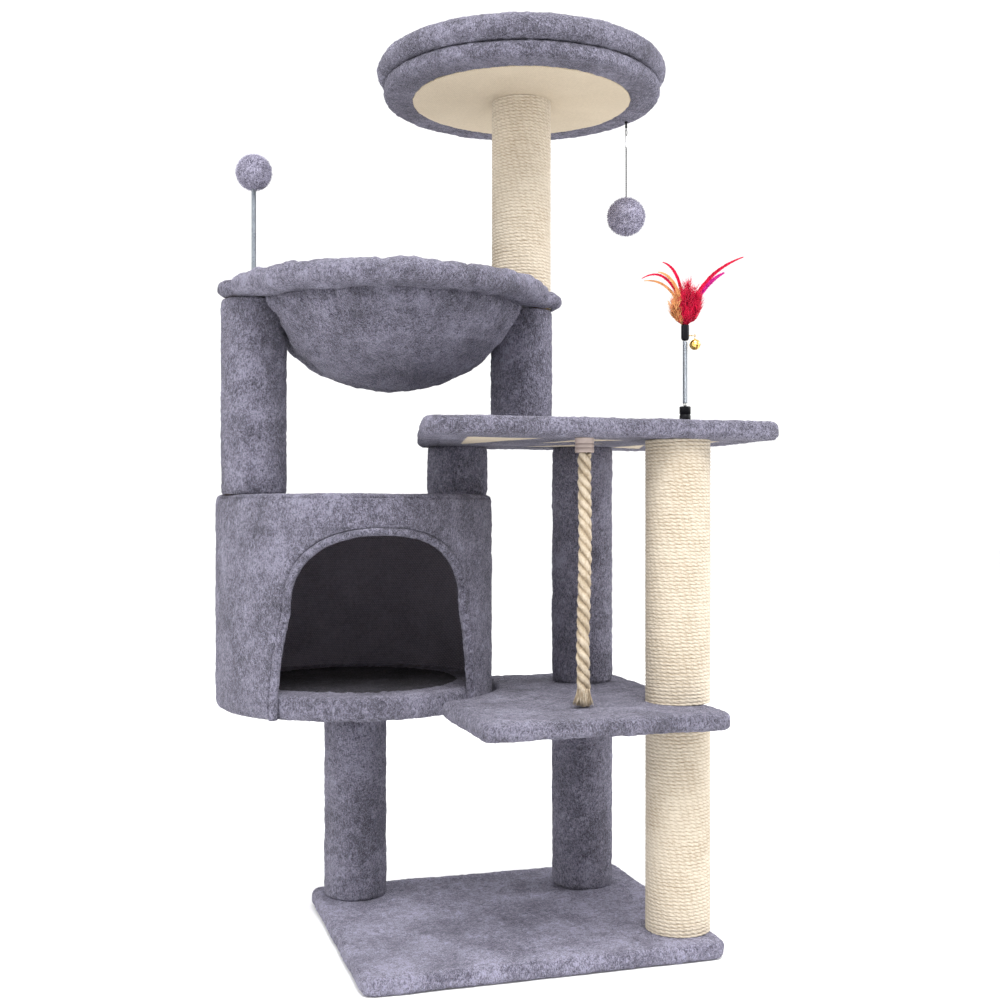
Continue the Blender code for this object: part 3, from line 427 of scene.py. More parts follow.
def woven(name, dark, light, pitch, sheen=0.1, upright=False):
    """Plain woven cloth, whose threads cross."""
    n = Nodes(name, sheen_weight=sheen, sheen_roughness=0.5)
    scale = 0.314 / pitch
    turned_cloth = n.scaled((1.0, 1.0, 1.0), (0.0, 0.6, 0.0))
    warp = n.wave(scale, "X", 0.6, turned_cloth)
    weft = n.wave(scale, "Z" if upright else "Y", 0.6)
    slub = n.noise(260.0, 3.0, 0.3)
    stain = n.noise(14.0, 3.0, 0.8)
    thread = n.math("MULTIPLY", warp, weft)
    fac = n.total([(thread, 0.42), (slub, 0.45), (stain, 0.35)])
    n.colours(fac, [(0.20, dark), (0.75, light)])
    n.rough(slub, 0.8, 0.95)
    n.bump(n.total([(thread, 1.0), (slub, 0.5)]), 0.0006, 0.8)
    return n.mat


def metal(name, colour, rough_low, rough_high, scale=400.0):
    n = Nodes(name, metallic=1.0)
    marks = n.noise(scale, 4.0, 0.5)
    cloud = n.noise(60.0, 2.0)
    stops = [(0.3, shade(colour, 0.82)), (0.7, shade(colour, 1.08))]
    n.colours(n.total([(marks, 0.4), (cloud, 0.6)]), stops)
    n.rough(marks, rough_low, rough_high)
    n.bump(marks, 0.00008, 0.4)
    return n.mat


def plastic(name, colour, rough_low, rough_high, coat=0.0, **more):
    n = Nodes(name, coat_weight=coat, coat_roughness=0.15, **more)
    grain = n.noise(1800.0, 2.0)
    cloud = n.noise(90.0, 3.0, 0.4)
    stops = [(0.3, shade(colour, 0.8)), (0.7, shade(colour, 1.25))]
    n.colours(n.total([(cloud, 0.8), (grain, 0.2)]), stops)
    n.rough(cloud, rough_low, rough_high)
    n.bump(grain, 0.00006, 0.4)
    return n.mat


def board(name, dark, light, scale):
    """Pressed chips or layered card: flecks of several sizes."""
    n = Nodes(name, specular_ior_level=0.2)
    chips = n.noise(scale, 5.0, 1.2, n.scaled((1.0, 1.0, 3.0)))
    dust = n.noise(900.0, 3.0)
    stops = [(0.32, dark), (0.5, light), (0.68, shade(light, 1.25))]
    n.colours(n.total([(chips, 0.75), (dust, 0.25)]), stops)
    n.rough(chips, 0.75, 0.95)
    n.bump(chips, 0.0004, 0.6)
    return n.mat


def plume_material(name, dark, light):
    n = Nodes(name, sheen_weight=0.05, sheen_roughness=0.35, specular_ior_level=0.12)
    streaks = n.noise(1.0, 3.0, 0.3, n.scaled((500.0, 500.0, 160.0)))
    cloud = n.noise(70.0, 2.0, 0.5)
    n.colours(n.total([(streaks, 0.6), (cloud, 0.5)]), [(0.30, dark), (0.72, light)])
    n.rough(streaks, 0.55, 0.8)
    n.bump(streaks, 0.0003, 0.5)
    return n.mat


LAVENDER_DARK, LAVENDER_LIGHT = (0.040, 0.036, 0.059), (0.375, 0.358, 0.485)
MATS = {
    "plush": plush("plush_lavender", LAVENDER_DARK, LAVENDER_LIGHT),
    # painted shade: a dark cloth, darker than the plush, for the condo's inner wall, where shade falls
    "lining": woven("painted_shade_interior", (0.060, 0.055, 0.075), (0.230, 0.210, 0.265), 0.0026, 0.1, True),
    # painted light: a lighter copy of the plush, for the base top that the lamps light more
    "lit_copy_plush": plush("plush_painted_light", shade(LAVENDER_DARK, 1.7), shade(LAVENDER_LIGHT, 1.38)),
    # painted shade: near black pile for the condo floor's inner part, where shade falls
    "floor_shade": plush("painted_shade_floor_cloth", (0.010, 0.009, 0.014), (0.085, 0.078, 0.105), 0.05),
    "pompom": plume_material("pompom_pile", (0.170, 0.160, 0.215), (0.500, 0.480, 0.600)),
    "sisal": fibre("sisal_cord", (0.330, 0.255, 0.170), (0.610, 0.540, 0.440), (90.0, 90.0, 900.0)),
    "rope": fibre("twisted_rope", (0.340, 0.265, 0.180), (0.560, 0.480, 0.375), (420.0, 420.0, 120.0)),
    "liner": woven("beige_lining", (0.430, 0.350, 0.240), (0.640, 0.540, 0.400), 0.0019),
    "underside": woven("black_lining", (0.012, 0.012, 0.013), (0.045, 0.045, 0.048), 0.0016),
    "cardboard": board("tube_cardboard", (0.200, 0.130, 0.070), (0.360, 0.255, 0.150), 90.0),
    "board": board("pressed_board", (0.190, 0.115, 0.055), (0.430, 0.300, 0.165), 240.0),
    "hoop": metal("hoop_steel", (0.23, 0.23, 0.24), 0.35, 0.5),
    "zinc": metal("zinc_plate", (0.62, 0.62, 0.60), 0.25, 0.4),
    "spring": metal("spring_wire", (0.34, 0.37, 0.41), 0.22, 0.36),
    "gold": metal("bell_brass", (0.83, 0.55, 0.16), 0.14, 0.28),
    "black": plastic("black_plastic", (0.004, 0.004, 0.006), 0.38, 0.5, 0.0, specular_ior_level=0.12),
    "string": plastic("string_cord", (0.020, 0.019, 0.022), 0.5, 0.7),
    "clear": plastic("clear_sleeve", (0.75, 0.76, 0.78), 0.12, 0.25, 0.2, transmission_weight=0.55),
    "ferrule": plastic("taupe_ferrule", (0.330, 0.260, 0.235), 0.35, 0.5, 0.15),
    "crimson": plume_material("feather_crimson", (0.260, 0.002, 0.014), (0.740, 0.006, 0.064)),
    "magenta": plume_material("feather_magenta", (0.330, 0.005, 0.150), (0.720, 0.030, 0.330)),
    "orange": plume_material("feather_orange", (0.420, 0.130, 0.040), (0.820, 0.430, 0.180)),
}


# ---------------------------------------------------------------- camera, floor and light
def make_camera():
    data = bpy.data.cameras.new("camera")
    data.lens = 46.8
    data.shift_y = 0.01
    camera = linked("camera", data)
    camera.location = (-0.501, -1.615, 0.545)
    camera.rotation_euler = (radians(90), 0.0, radians(-17))
    bpy.context.scene.camera = camera


def lamp(name, place, target, size, power, colour=(1.0, 1.0, 1.0)):
    data = bpy.data.lights.new(name, "AREA")
    data.shape = "DISK"
    data.size = size
    data.energy = power
    data.color = colour
    obj = linked(name, data)
    obj.location = place
    obj.rotation_euler = (Vector(target) - Vector(place)).to_track_quat("-Z", "Y").to_euler()


def make_studio():
    n = Nodes("floor_paper", specular_ior_level=0.1)
    n.colours(n.noise(6.0, 4.0), [(0.3, (0.90, 0.90, 0.90)), (0.7, (0.93, 0.93, 0.93))])
    n.rough(n.noise(40.0, 2.0), 0.8, 0.9)
    mesh = bpy.data.meshes.new("floor")
    signs = ((-1, -1), (1, -1), (1, 1), (-1, 1))
    mesh.from_pydata([(x * FLOOR_REACH, y * FLOOR_REACH, 0.0) for x, y in signs], [], [(0, 1, 2, 3)])
    mesh.materials.append(n.mat)
    linked("floor", mesh)
    world = bpy.data.worlds.new("studio")
    world.use_nodes = True
    back = world.node_tree.nodes["Background"]
    back.inputs["Color"].default_value = (1.0, 1.0, 1.0, 1.0)
    back.inputs["Strength"].default_value = 1.12
    bpy.context.scene.world = world
    bpy.context.scene.view_settings.view_transform = "Standard"
    middle = (0.05, 0.0, 0.6)
    lamp("left", (-2.9, -0.9, 1.7), middle, 1.8, 34.0, (1.0, 0.99, 0.97))
    lamp("right", (2.9, -0.4, 1.7), middle, 1.6, 46.0)
    lamp("top", (-0.1, -1.7, 3.2), middle, 1.6, 105.0)
    lamp("back", (0.8, 2.4, 2.0), middle, 1.6, 22.0)


# ---------------------------------------------------------------- play rope and string
def rope_route():
    """The rope's own line, from its bound end down to just over the middle platform."""
    _, low, high, _ = column("play_rope")
    ferrule = column("rope_ferrule")[0]
    route = []
    for i in range(ROUTE_POINTS):
        share = i / (ROUTE_POINTS - 1)
        sway = 0.0022 * sin(tau * share) * share
        route.append(Vector((ferrule.x + sway, ferrule.y - sway / 2, high + (low - high) * share)))
    return route


def along_route(route, share):
    step = min(max(share, 0.0), 1.0) * (len(route) - 1)
    i = min(int(step), len(route) - 2)
    return route[i].lerp(route[i + 1], step - i)


def make_rope():
    route = rope_route()
    strands = []
    for k in range(3):
        path, radii = [], []
        for i in range(ROPE_RINGS):
            share = -ROPE_TUCKED + (ROPE_END + ROPE_TUCKED) * i / (ROPE_RINGS - 1)
            centre = along_route(route, share) + Vector((0.0, 0.0, max(-share, 0.0) * ROPE_LENGTH))
            slack = 0.10 * noise(centre * 35.0 + Vector((0, k * 9, 0)))
            turn = tau * (k / 3 + ROPE_LENGTH * share / ROPE_TWIST + slack)
            path.append(centre + ray(turn) * ROPE_OFFSET * (1.0 + 0.12 * noise(centre * 60.0)))
            radii.append(ROPE_STRAND * (1.0 + 0.12 * noise(centre * 110.0 + Vector((k, 0, 0)))))
        strands.append(swept(path, radii, 14))
    mesh = to_mesh("play_rope_strands", joined(strands))
    ruffle(mesh, [(0.0045, 0.0005), (0.0022, 0.00045), (0.0009, 0.0002)])
    centre_line = np.array([along_route(route, s / 60) for s in range(61)])
    co = coordinates(mesh)
    axis_x = np.interp(-co[:, 2], -centre_line[:, 2], centre_line[:, 0])
    axis_y = np.interp(-co[:, 2], -centre_line[:, 2], centre_line[:, 1])
    # painted shade: 0 in the grooves between the strands, rising to 1 on their outer crowns
    depth = (np.hypot(co[:, 0] - axis_x, co[:, 1] - axis_y) - 0.0062) / 0.0030
    set_lift(mesh, np.clip(depth, 0.0, 1.0))
    rope = piece("play_rope_strands", mesh, "rope", "rope", "play_rope")
    tuft = piece("play_rope_tuft", make_tuft(route), "rope", "rope")


def make_tuft(route):
    """The rope's frayed end, and the short fibres that stand off its strands."""
    rng = random.Random(11)
    fibres = []
    root = along_route(route, ROPE_FRAYED)
    tip_z = route[-1].z
    for _ in range(ROPE_TUFT):
        turn = rng.uniform(0, tau)
        start = rng.uniform(0.0015, 0.0075)
        flare = start * rng.uniform(1.0, 1.3) + rng.uniform(0.0, 0.0055)
        drop = (root.z - tip_z) * rng.uniform(0.80, 1.0)
        path = []
        for s in (0.0, 0.35, 0.7, 1.0):
            reach = start + (flare - start) * s**1.4
            path.append(root + ray(turn) * reach + Vector((0.0, 0.0, -drop * s)))
        fibres.append(swept(path, [0.0007, 0.00062, 0.0005, 0.0003], 4))
    for _ in range(ROPE_FUZZ):
        share = rng.uniform(0.01, 0.95)
        turn = rng.uniform(0, tau)
        out, side = ray(turn), ray(turn + pi / 2)
        path = [along_route(route, share) + out * 0.0068]
        heading = side * rng.uniform(-0.7, 0.7) + Vector((0.0, 0.0, rng.uniform(-1.0, 0.4)))
        for lift in (0.0008, 0.0016):
            path.append(path[-1] + heading * rng.uniform(0.0016, 0.0032) + out * lift)
        fibres.append(swept(path, [0.00016, 0.00014, 0.00006], 3))
    return ruffle(to_mesh("play_rope_tuft", joined(fibres)), [(0.003, 0.0001)])


def make_binding():
    """The rope's bound end, inside its ferrule."""
    _, low, high, radius = column("rope_whipping")
    profile = []
    rows = 14
    for i in range(rows + 1):
        angle = pi * i / rows
        ridge = 1.0 if i in (0, rows) else 0.94 + 0.06 * cos(i * pi)
        out = radius * sin(angle) * ridge if 0 < i < rows else 0.0
        profile.append((out, (low + high) / 2 + radius * cos(angle)))
    mesh = to_mesh("rope_binding", turned(profile, column("rope_ferrule")[0], 24))
    ruffle(mesh, [(0.002, 0.0001)])
    piece("rope_binding", mesh, "rope", "rope_hinge", "rope_whipping")


def make_ferrule():
    axis, mouth, high, radius = column("rope_ferrule")
    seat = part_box("upper_cover")[0].z - 0.0003
    inner = ROPE_DIAMETER / 2 + 0.0013
    lip = 0.0006
    profile = [(0.0, seat - 0.003), (inner, seat - 0.003), (inner, mouth + lip)]
    profile += [(inner + lip, mouth), (radius - lip, mouth), (radius, mouth + lip)]
    for height in (0.35, 0.62):
        z = mouth + (seat - mouth) * height
        profile += [(radius, z - 0.0011), (radius - 0.0005, z - 0.0005)]
        profile += [(radius - 0.0005, z + 0.0005), (radius, z + 0.0011)]
    profile += [(radius, seat - lip), (radius + 0.0004, seat - lip / 2), (radius - lip, seat)]
    profile += [(0.0024, seat), (0.0024, high), (0.0, high)]
    piece("rope_cap", turned(profile, axis, 48), "ferrule", "tree", "rope_ferrule")


def any_way(rng):
    return Vector((rng.gauss(0, 1), rng.gauss(0, 1), rng.gauss(0, 1)))


def pompom(name, node, body, seed):
    """A ball of short pile, whose tufts stand out of a rough surface."""
    low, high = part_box(node)
    centre = (low + high) / 2
    radius = (high.z - low.z) / 2
    bm = bmesh.new()
    bmesh.ops.create_icosphere(bm, subdivisions=6, radius=radius * 0.965)
    rng = random.Random(seed)
    for vert in bm.verts:
        clump = noise(vert.co / 0.0032 + Vector((seed, 0, 0)))
        spike = max(0.0, rng.gauss(0.0, 0.00045))
        vert.co *= 1.0 + (0.0011 * clump + spike) / radius
        vert.co += centre
    for face in bm.faces:
        face.smooth = True
    ball = bpy.data.meshes.new(name)
    bm.to_mesh(ball)
    bm.free()
    ruffle(ball, [(0.006, 0.0006), (0.0022, 0.0004)])
    fibres = []
    for _ in range(POMPOM_FIBRES):
        out = any_way(rng).normalized()
        lean = any_way(rng) * 0.35
        foot = centre + out * radius * 0.94
        tip = foot + (out + lean).normalized() * rng.uniform(0.0022, 0.0046)
        path = [foot, (foot + tip) / 2 + out * 0.0003, tip]
        fibres.append(swept(path, [0.0003, 0.00024, 0.00008], 3))
    hair = to_mesh(name + "_fibres", joined(fibres))
    set_lift(hair, [0.8] * len(hair.vertices))
    piece(name + "_fibres", hair, "pompom", body)
    return piece(name, ball, "pompom", body, node)


def make_hanging_toy():
    at, tab_low, tab_high, half = column("string_tab")
    eye = tab_low + half * 1.1
    shape = [(0.0, 0.0), (0.55, 0.0002), (0.85, 0.0007), (0.85, 0.0025), (0.55, 0.0032)]
    profile = [(half * out, tab_high - down) for out, down in shape]
    profile += [(half * 0.5, eye + 0.001), (half * 0.62, eye)]
    profile += [(half * 0.5, tab_low + 0.0004), (0.0, tab_low)]
    piece("string_anchor", turned(profile, at, 28), "black", "string_hinge", "string_tab")

    _, low, high, radius = column("string_crimp")
    neck = high - 0.0100
    profile = [(0.0, low), (radius - 0.0003, low), (radius, low + 0.0003)]
    for i in range(5):
        z = low + (neck - low) * (i + 1) / 6
        profile += [(radius, z - 0.0007), (radius * 0.82, z), (radius, z + 0.0007)]
    profile += [(radius, neck - 0.0004), (radius * 0.75, neck), (STRING_DIAMETER * 0.3, neck)]
    profile.append((0.0, neck))
    piece("string_sleeve", turned(profile, at, 24), "clear", "string_toy", "string_crimp")
    loops = []
    for side in (-1, 1):
        path = []
        for i in range(15):
            share = i / 14
            bow = 0.0013 * sin(pi * share) ** 0.8
            path.append((at.x + side * bow, at.y, neck - 0.0004 + (high - neck) * share))
        loops.append(swept(path, 0.00055, 8))
    piece("string_bight", joined(loops), "string", "string_toy")

    low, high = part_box("pompom_string")
    route = [(at.x, at.y, high.z + (low.z - high.z) * i / 12) for i in range(13)]
    fine = [Vector(route[0]).lerp(Vector(route[-1]), i / 72) for i in range(73)]
    plies = []
    for k in range(2):
        path = []
        for i, point in enumerate(fine):
            turn = pi * (k + i / 3.0)
            path.append(point + ray(turn) * 0.00042)
        plies.append(swept(path, 0.00056, 8))
    line = piece("pompom_line", joined(plies), "string", "string_toy", "pompom_string")
    ball = pompom("hanging_pompom_pile", "hanging_pompom", "string_toy", 5)


# ---------------------------------------------------------------- posts
def make_sleeve(node):
    """A plush sleeve, drawn in at its ends, with one sewn seam up its back."""
    axis, low, high, radius = column(node)
    rows = round((high - low) / GRID)
    sides = round(tau * radius / GRID)
    seam = radians(70)
    loops = []
    for row in range(rows + 1):
        z = low + (high - low) * row / rows
        end = min(z - low, high - z)
        draw = TUCK * exp(-end / 0.0035)
        loop = []
        for i in range(sides):
            turn = tau * i / sides
            off = radius * (turn - seam) / 0.0022
            r = radius - draw - 0.0014 * exp(-off * off)
            loop.append((axis.x + r * cos(turn), axis.y + r * sin(turn), z))
        loops.append(loop)
    inner = radius - SLEEVE
    loops += [ring(axis, inner, high, sides), ring(axis, inner, low, sides)]
    mesh = to_mesh(node + "_pile", loft(loops, wrap=True))
    co = coordinates(mesh)
    outside = np.hypot(co[:, 0] - axis.x, co[:, 1] - axis.y) > inner + 0.001
    inside_ends = np.minimum(co[:, 2] - low, high - co[:, 2]) > 0.0005
    ruffle(mesh, PILE_LAYERS, (outside & inside_ends).astype(float))
    piece(node + "_pile", mesh, "plush", "tree", node)


def make_winding(node):
    """Sisal cord wound round a post in one close helix, each turn showing the cord's own twist."""
    axis, low, high, radius = column(node)
    sides = 170
    rows = round((high - low) / SISAL_PITCH * 7)
    loops, groove_shades = [], []
    for row in range(rows + 1):
        z = low + (high - low) * row / rows
        loop = []
        for i in range(sides):
            turn = tau * i / sides
            place = ray(turn) * radius + Vector((0.0, 0.0, z))
            wander = 0.0011 * noise(place / 0.013)
            wraps = (z + wander) / SISAL_PITCH - i / sides
            share = wraps % 1.0
            round_top = sqrt(max(0.0, 1.0 - (2.0 * share - 1.0) ** 2))
            along = tau * radius * floor(wraps) + radius * turn
            ply = 0.5 + 0.5 * sin(tau * (along / SISAL_PLY + 0.8 * share))
            rough = 0.0004 * noise(place / 0.0035)
            r = radius - SISAL_DEPTH * (1.0 - round_top) - 0.0005 * ply + rough
            loop.append((axis.x + r * cos(turn), axis.y + r * sin(turn), z))
            # painted shade: lighter on each turn's crown, darker in the gaps between turns and in the ply's
            # grooves
            groove_shades.append(0.20 + 0.44 * round_top + 0.36 * (1.0 - ply))
        loops.append(loop)
    inner = radius - 0.0024
    loops += [ring(axis, inner, high, sides), ring(axis, inner, low, sides)]
    mesh = to_mesh(node + "_cord", loft(loops, wrap=True))
    set_lift(mesh, groove_shades + [0.3] * (2 * sides))
    piece(node + "_cord", mesh, "sisal", "tree", node)


# ---------------------------------------------------------------- covered boards
def to_circle(co, centre, sides):
    """Points of a turned solid with flat sides, moved out to the true circle."""
    x, y = co[:, 0] - centre.x, co[:, 1] - centre.y
    turn = np.arctan2(y, x)
    step = tau / sides
    off = np.mod(turn, step) - step / 2
    grow = np.cos(off) / cos(step / 2)
    made = co.copy()
    made[:, 0] = centre.x + x * grow
    made[:, 1] = centre.y + y * grow
    return made


def keep_above(mesh, z):
    co = coordinates(mesh)
    co[:, 2] = np.maximum(co[:, 2], z)
    set_coordinates(mesh, co)


def make_cover(name, cover, filling, sides, look="plush"):
    """A plush cover over its board, as one solid with soft edges and tufted pile."""
    bm = bmesh.new()
    bm.from_mesh(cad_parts[cover].data)
    low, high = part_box(cover)
    if filling:
        first = len(bm.verts)
        bm.from_mesh(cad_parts[filling].data)
        bm.verts.ensure_lookup_table()
        for vert in bm.verts[first:]:
            vert.co.z = min(vert.co.z, high.z - SLEEVE)
    mesh = bpy.data.meshes.new(name)
    bm.to_mesh(mesh)
    bm.free()
    obj = linked(name, mesh)
    add_grid(obj, GRID)
    soften = obj.modifiers.new("soften", "SMOOTH")
    soften.factor = 0.5
    soften.iterations = SOFTENING
    mesh = smooth(taken(obj))
    if sides:
        set_coordinates(mesh, to_circle(coordinates(mesh), (low + high) / 2, sides))
    ruffle(mesh, PILE_LAYERS)
    keep_above(mesh, COVER_LIFT)
    return piece(name, mesh, look, "tree", *([cover, filling] if filling else [cover]))


def make_boards():
    # painted light: the base top takes the lighter copy of the plush
    make_cover("base_plush", "base_cover", "base_board", None, look="lit_copy_plush")
    make_cover("middle_plush", "mid_cover", "mid_board", None)
    make_cover("upper_plush", "upper_cover", "upper_board", None)
    condo_floor = make_cover("condo_floor_plush", "condo_floor_cover", "condo_floor_board", CONDO_SIDES)
    axis, _, high, radius = column("condo_floor_cover")
    edge = radius - FLOOR_PLUSH
    # painted shade: the floor inside its plush edge takes the near black material
    inlay(condo_floor.data, "floor_shade", lambda at: at.z > high - 0.004 and (at.xy - axis).length < edge)
    make_cover("condo_roof_plush", "condo_roof_cover", None, CONDO_SIDES)
    make_cover("perch_plush", "perch_band", "perch_board", PERCH_SIDES)
    make_lining("base_lining", "base_liner", "underside", 0.0)
    make_lining("upper_lining", "upper_liner", "liner", UPPER_HEM)
    make_lining("perch_lining", "perch_liner", "liner", 0.0)


def make_lining(name, node, look, hem):
    """A cloth lining under a board, a little slack, with the cover's hem turned in over its edge."""
    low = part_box(node)[0]
    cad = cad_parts[node].data
    outline = kdtree.KDTree(len(cad.edges) * EDGE_POINTS)
    for edge in cad.edges:
        a, b = (cad.vertices[i].co for i in edge.vertices)
        if max(abs(a.z - low.z), abs(b.z - low.z)) < 0.0002 and on_rim(cad, edge, low.z):
            for k in range(EDGE_POINTS):
                point = a.lerp(b, k / (EDGE_POINTS - 1))
                outline.insert((point.x, point.y, 0.0), 0)
    outline.balance()
    obj = linked(name, cad.copy())
    add_grid(obj, LINING_GRID)
    mesh = smooth(taken(obj))
    mesh.materials.clear()
    ruffle(mesh, [(0.060, 0.0006), (0.018, 0.0003)])
    keep_above(mesh, LINING_LIFT)
    piece(name, mesh, look, "tree", node)
    inlay(mesh, "plush", lambda at: outline.find((at.x, at.y, 0.0))[2] < hem)


def on_rim(mesh, edge, z):
    """True where only one flat face of the underside meets an edge."""
    ends = set(edge.vertices)
    flat = [f for f in mesh.polygons if f.normal.z < -0.9 and abs(f.center.z - z) < 0.0003]
    return sum(ends <= set(f.vertices) for f in flat) == 1


# ---------------------------------------------------------------- condo
def half_door(height, margin):
    """Half the doorway's width at a height above the condo's underside."""
    if height <= DOOR_SHOULDER_HEIGHT:
        share = height / DOOR_SHOULDER_HEIGHT
        return DOOR_HALF_WIDTH + margin + (DOOR_SHOULDER - DOOR_HALF_WIDTH) * share**2
    share = (height - DOOR_SHOULDER_HEIGHT) / (DOOR_HEIGHT + margin - DOOR_SHOULDER_HEIGHT)
    return (DOOR_SHOULDER + margin) * (1.0 - min(share, 1.0) ** 2.4) ** (1 / 2.4)


def door_heights(margin, step, arch_steps):
    """Heights up the doorway, evenly up its sides and closer near the top of its arch."""
    count = round(DOOR_SHOULDER_HEIGHT / step)
    sides = [DOOR_SHOULDER_HEIGHT * i / count for i in range(count)]
    rise = DOOR_HEIGHT + margin - DOOR_SHOULDER_HEIGHT
    turns = [pi / 2 * i / arch_steps for i in range(arch_steps + 1)]
    return sides + [DOOR_SHOULDER_HEIGHT + rise * sin(t) ** (2 / 2.4) for t in turns]


def rounding(gap, bend):
    """How far a rounded edge draws in at a gap from the edge."""
    short = max(1.0 - max(gap, 0.0) / bend, 0.0)
    return bend * 0.75 * (1.0 - sqrt(1.0 - short * short))


def make_condo_wall():
    """The plush covered wall, open at the arched doorway, with a dark cloth inside as painted shade."""
    axis, low, high, radius = column("condo_wall_cover")
    inner_radius = column("condo_wall")[3] - 0.0047
    heights = door_heights(DOOR_OPENING, GRID * 1.05, 30)
    top_row = len(heights) - 1
    whole = high - low + ROOF_LAP
    heights += [heights[-1] + (whole - heights[-1]) * i / 12 for i in range(1, 13)]
    rows, columns = len(heights), 330
    points, faces = [], []
    for side in (0, 1):
        for row, height in enumerate(heights):
            half = half_door(height, DOOR_OPENING) if row < top_row else 0.0
            start = asin(half / radius)
            for i in range(columns + 1):
                turn = start + (tau - 2 * start) * i / columns
                r = inner_radius
                if not side:
                    to_jamb = radius * min(turn - start, tau - start - turn) if row < top_row else 1.0
                    gaps = ((height, 0.011), (whole - height, 0.0016), (to_jamb, 0.004))
                    r = radius - max(rounding(gap, bend) for gap, bend in gaps)
                points.append((axis.x + r * sin(turn), axis.y - r * cos(turn), low + height))
    stride = columns + 1
    inner = rows * stride

    def strips(rows, columns, *corners):
        for row in rows:
            for i in columns:
                faces.append(tuple(row * stride + i + corner for corner in corners))

    strips(range(rows - 1), range(columns), 0, 1, stride + 1, stride)
    strips(range(rows - 1), range(columns), inner, inner + stride, inner + stride + 1, inner + 1)
    strips((0, rows - 1), range(columns), 0, inner, inner + 1, 1)
    strips(range(top_row), (0, columns), 0, stride, inner + stride, inner)
    mesh = to_mesh("condo_wall_plush", (points, faces), weld=0.00002)
    co = coordinates(mesh)
    reach = np.hypot(co[:, 0] - axis.x, co[:, 1] - axis.y)
    ruffle(mesh, PILE_LAYERS, np.where(reach > (radius + inner_radius) / 2, 1.0, 0.5))
    piece("condo_wall_plush", mesh, "plush", "tree", "condo_wall_cover", "condo_wall")
    # painted shade: the wall's inner faces take the dark interior material
    inlay(mesh, "lining", lambda at: (at.xy - axis).length < inner_radius + 0.002)


def make_welt():
    """The padded band along the doorway's edge, puckered by its stitches."""
    axis, low, _, radius = column("condo_wall_cover")
    centre_radius = radius - 0.0036
    heights = [0.0008] + door_heights(WELT_HALF_WIDTH, 0.003, 40)[1:]
    right = [(half_door(h, WELT_HALF_WIDTH), h) for h in heights]
    outline = right + [(-x, h) for x, h in reversed(right[:-1])]
    route = [Vector((x, -sqrt(centre_radius**2 - x * x), h)) for x, h in outline]
    lengths = [0.0]
    for a, b in zip(route, route[1:]):
        lengths.append(lengths[-1] + (b - a).length)
    count = round(lengths[-1] / WELT_STEP)
    path = []
    for i in range(count + 1):
        at = lengths[-1] * i / count
        k = min(int(np.searchsorted(lengths, at, side="right")) - 1, len(route) - 2)
        share = (at - lengths[k]) / max(lengths[k + 1] - lengths[k], 1e-9)
        path.append(route[k].lerp(route[k + 1], share))
    sides = 18
    place = Vector((axis.x, axis.y, low))
    loops = [[place + path[0]]]
    for i, point in enumerate(path):
        along = (path[min(i + 1, count)] - path[max(i - 1, 0)]).normalized()
        out = Vector((point.x, point.y, 0.0)).normalized()
        out = (out - along * out.dot(along)).normalized()
        across = along.cross(out)
        pucker = 1.0 + 0.07 * sin(i * WELT_STEP / STITCH * tau) + 0.10 * noise(point / 0.018)
        loop = []
        for k in range(sides):
            turn = tau * k / sides
            wide = WELT_HALF_WIDTH * cos(turn)
            deep = (WELT_HALF_DEPTH * pucker + 0.0012) * sin(turn)
            loop.append(place + point + across * wide + out * deep)
        loops.append(loop)
    loops.append([place + path[-1]])
    mesh = to_mesh("condo_door_welt", loft(loops))
    ruffle(mesh, [(0.012, 0.0005), (0.0045, 0.0004)])
    piece("condo_door_welt", mesh, "plush", "tree", "condo_door_trim")


# ---------------------------------------------------------------- hammock
def crossing(turn, reach, radius, side):
    """Distance along a ray to a circle round a post at that reach, or None where it misses."""
    off = reach * sin(turn)
    if abs(off) >= radius or cos(turn) <= 0.0:
        return None
    return reach * cos(turn) + side * sqrt(radius**2 - off**2)


def smooth_step(low, high, value):
    share = min(max((value - low) / (high - low), 0.0), 1.0)
    return share * share * (3.0 - 2.0 * share)


def soft_min(a, b, width):
    share = max(width - abs(a - b), 0.0) / width
    return min(a, b) - share * share * width / 4


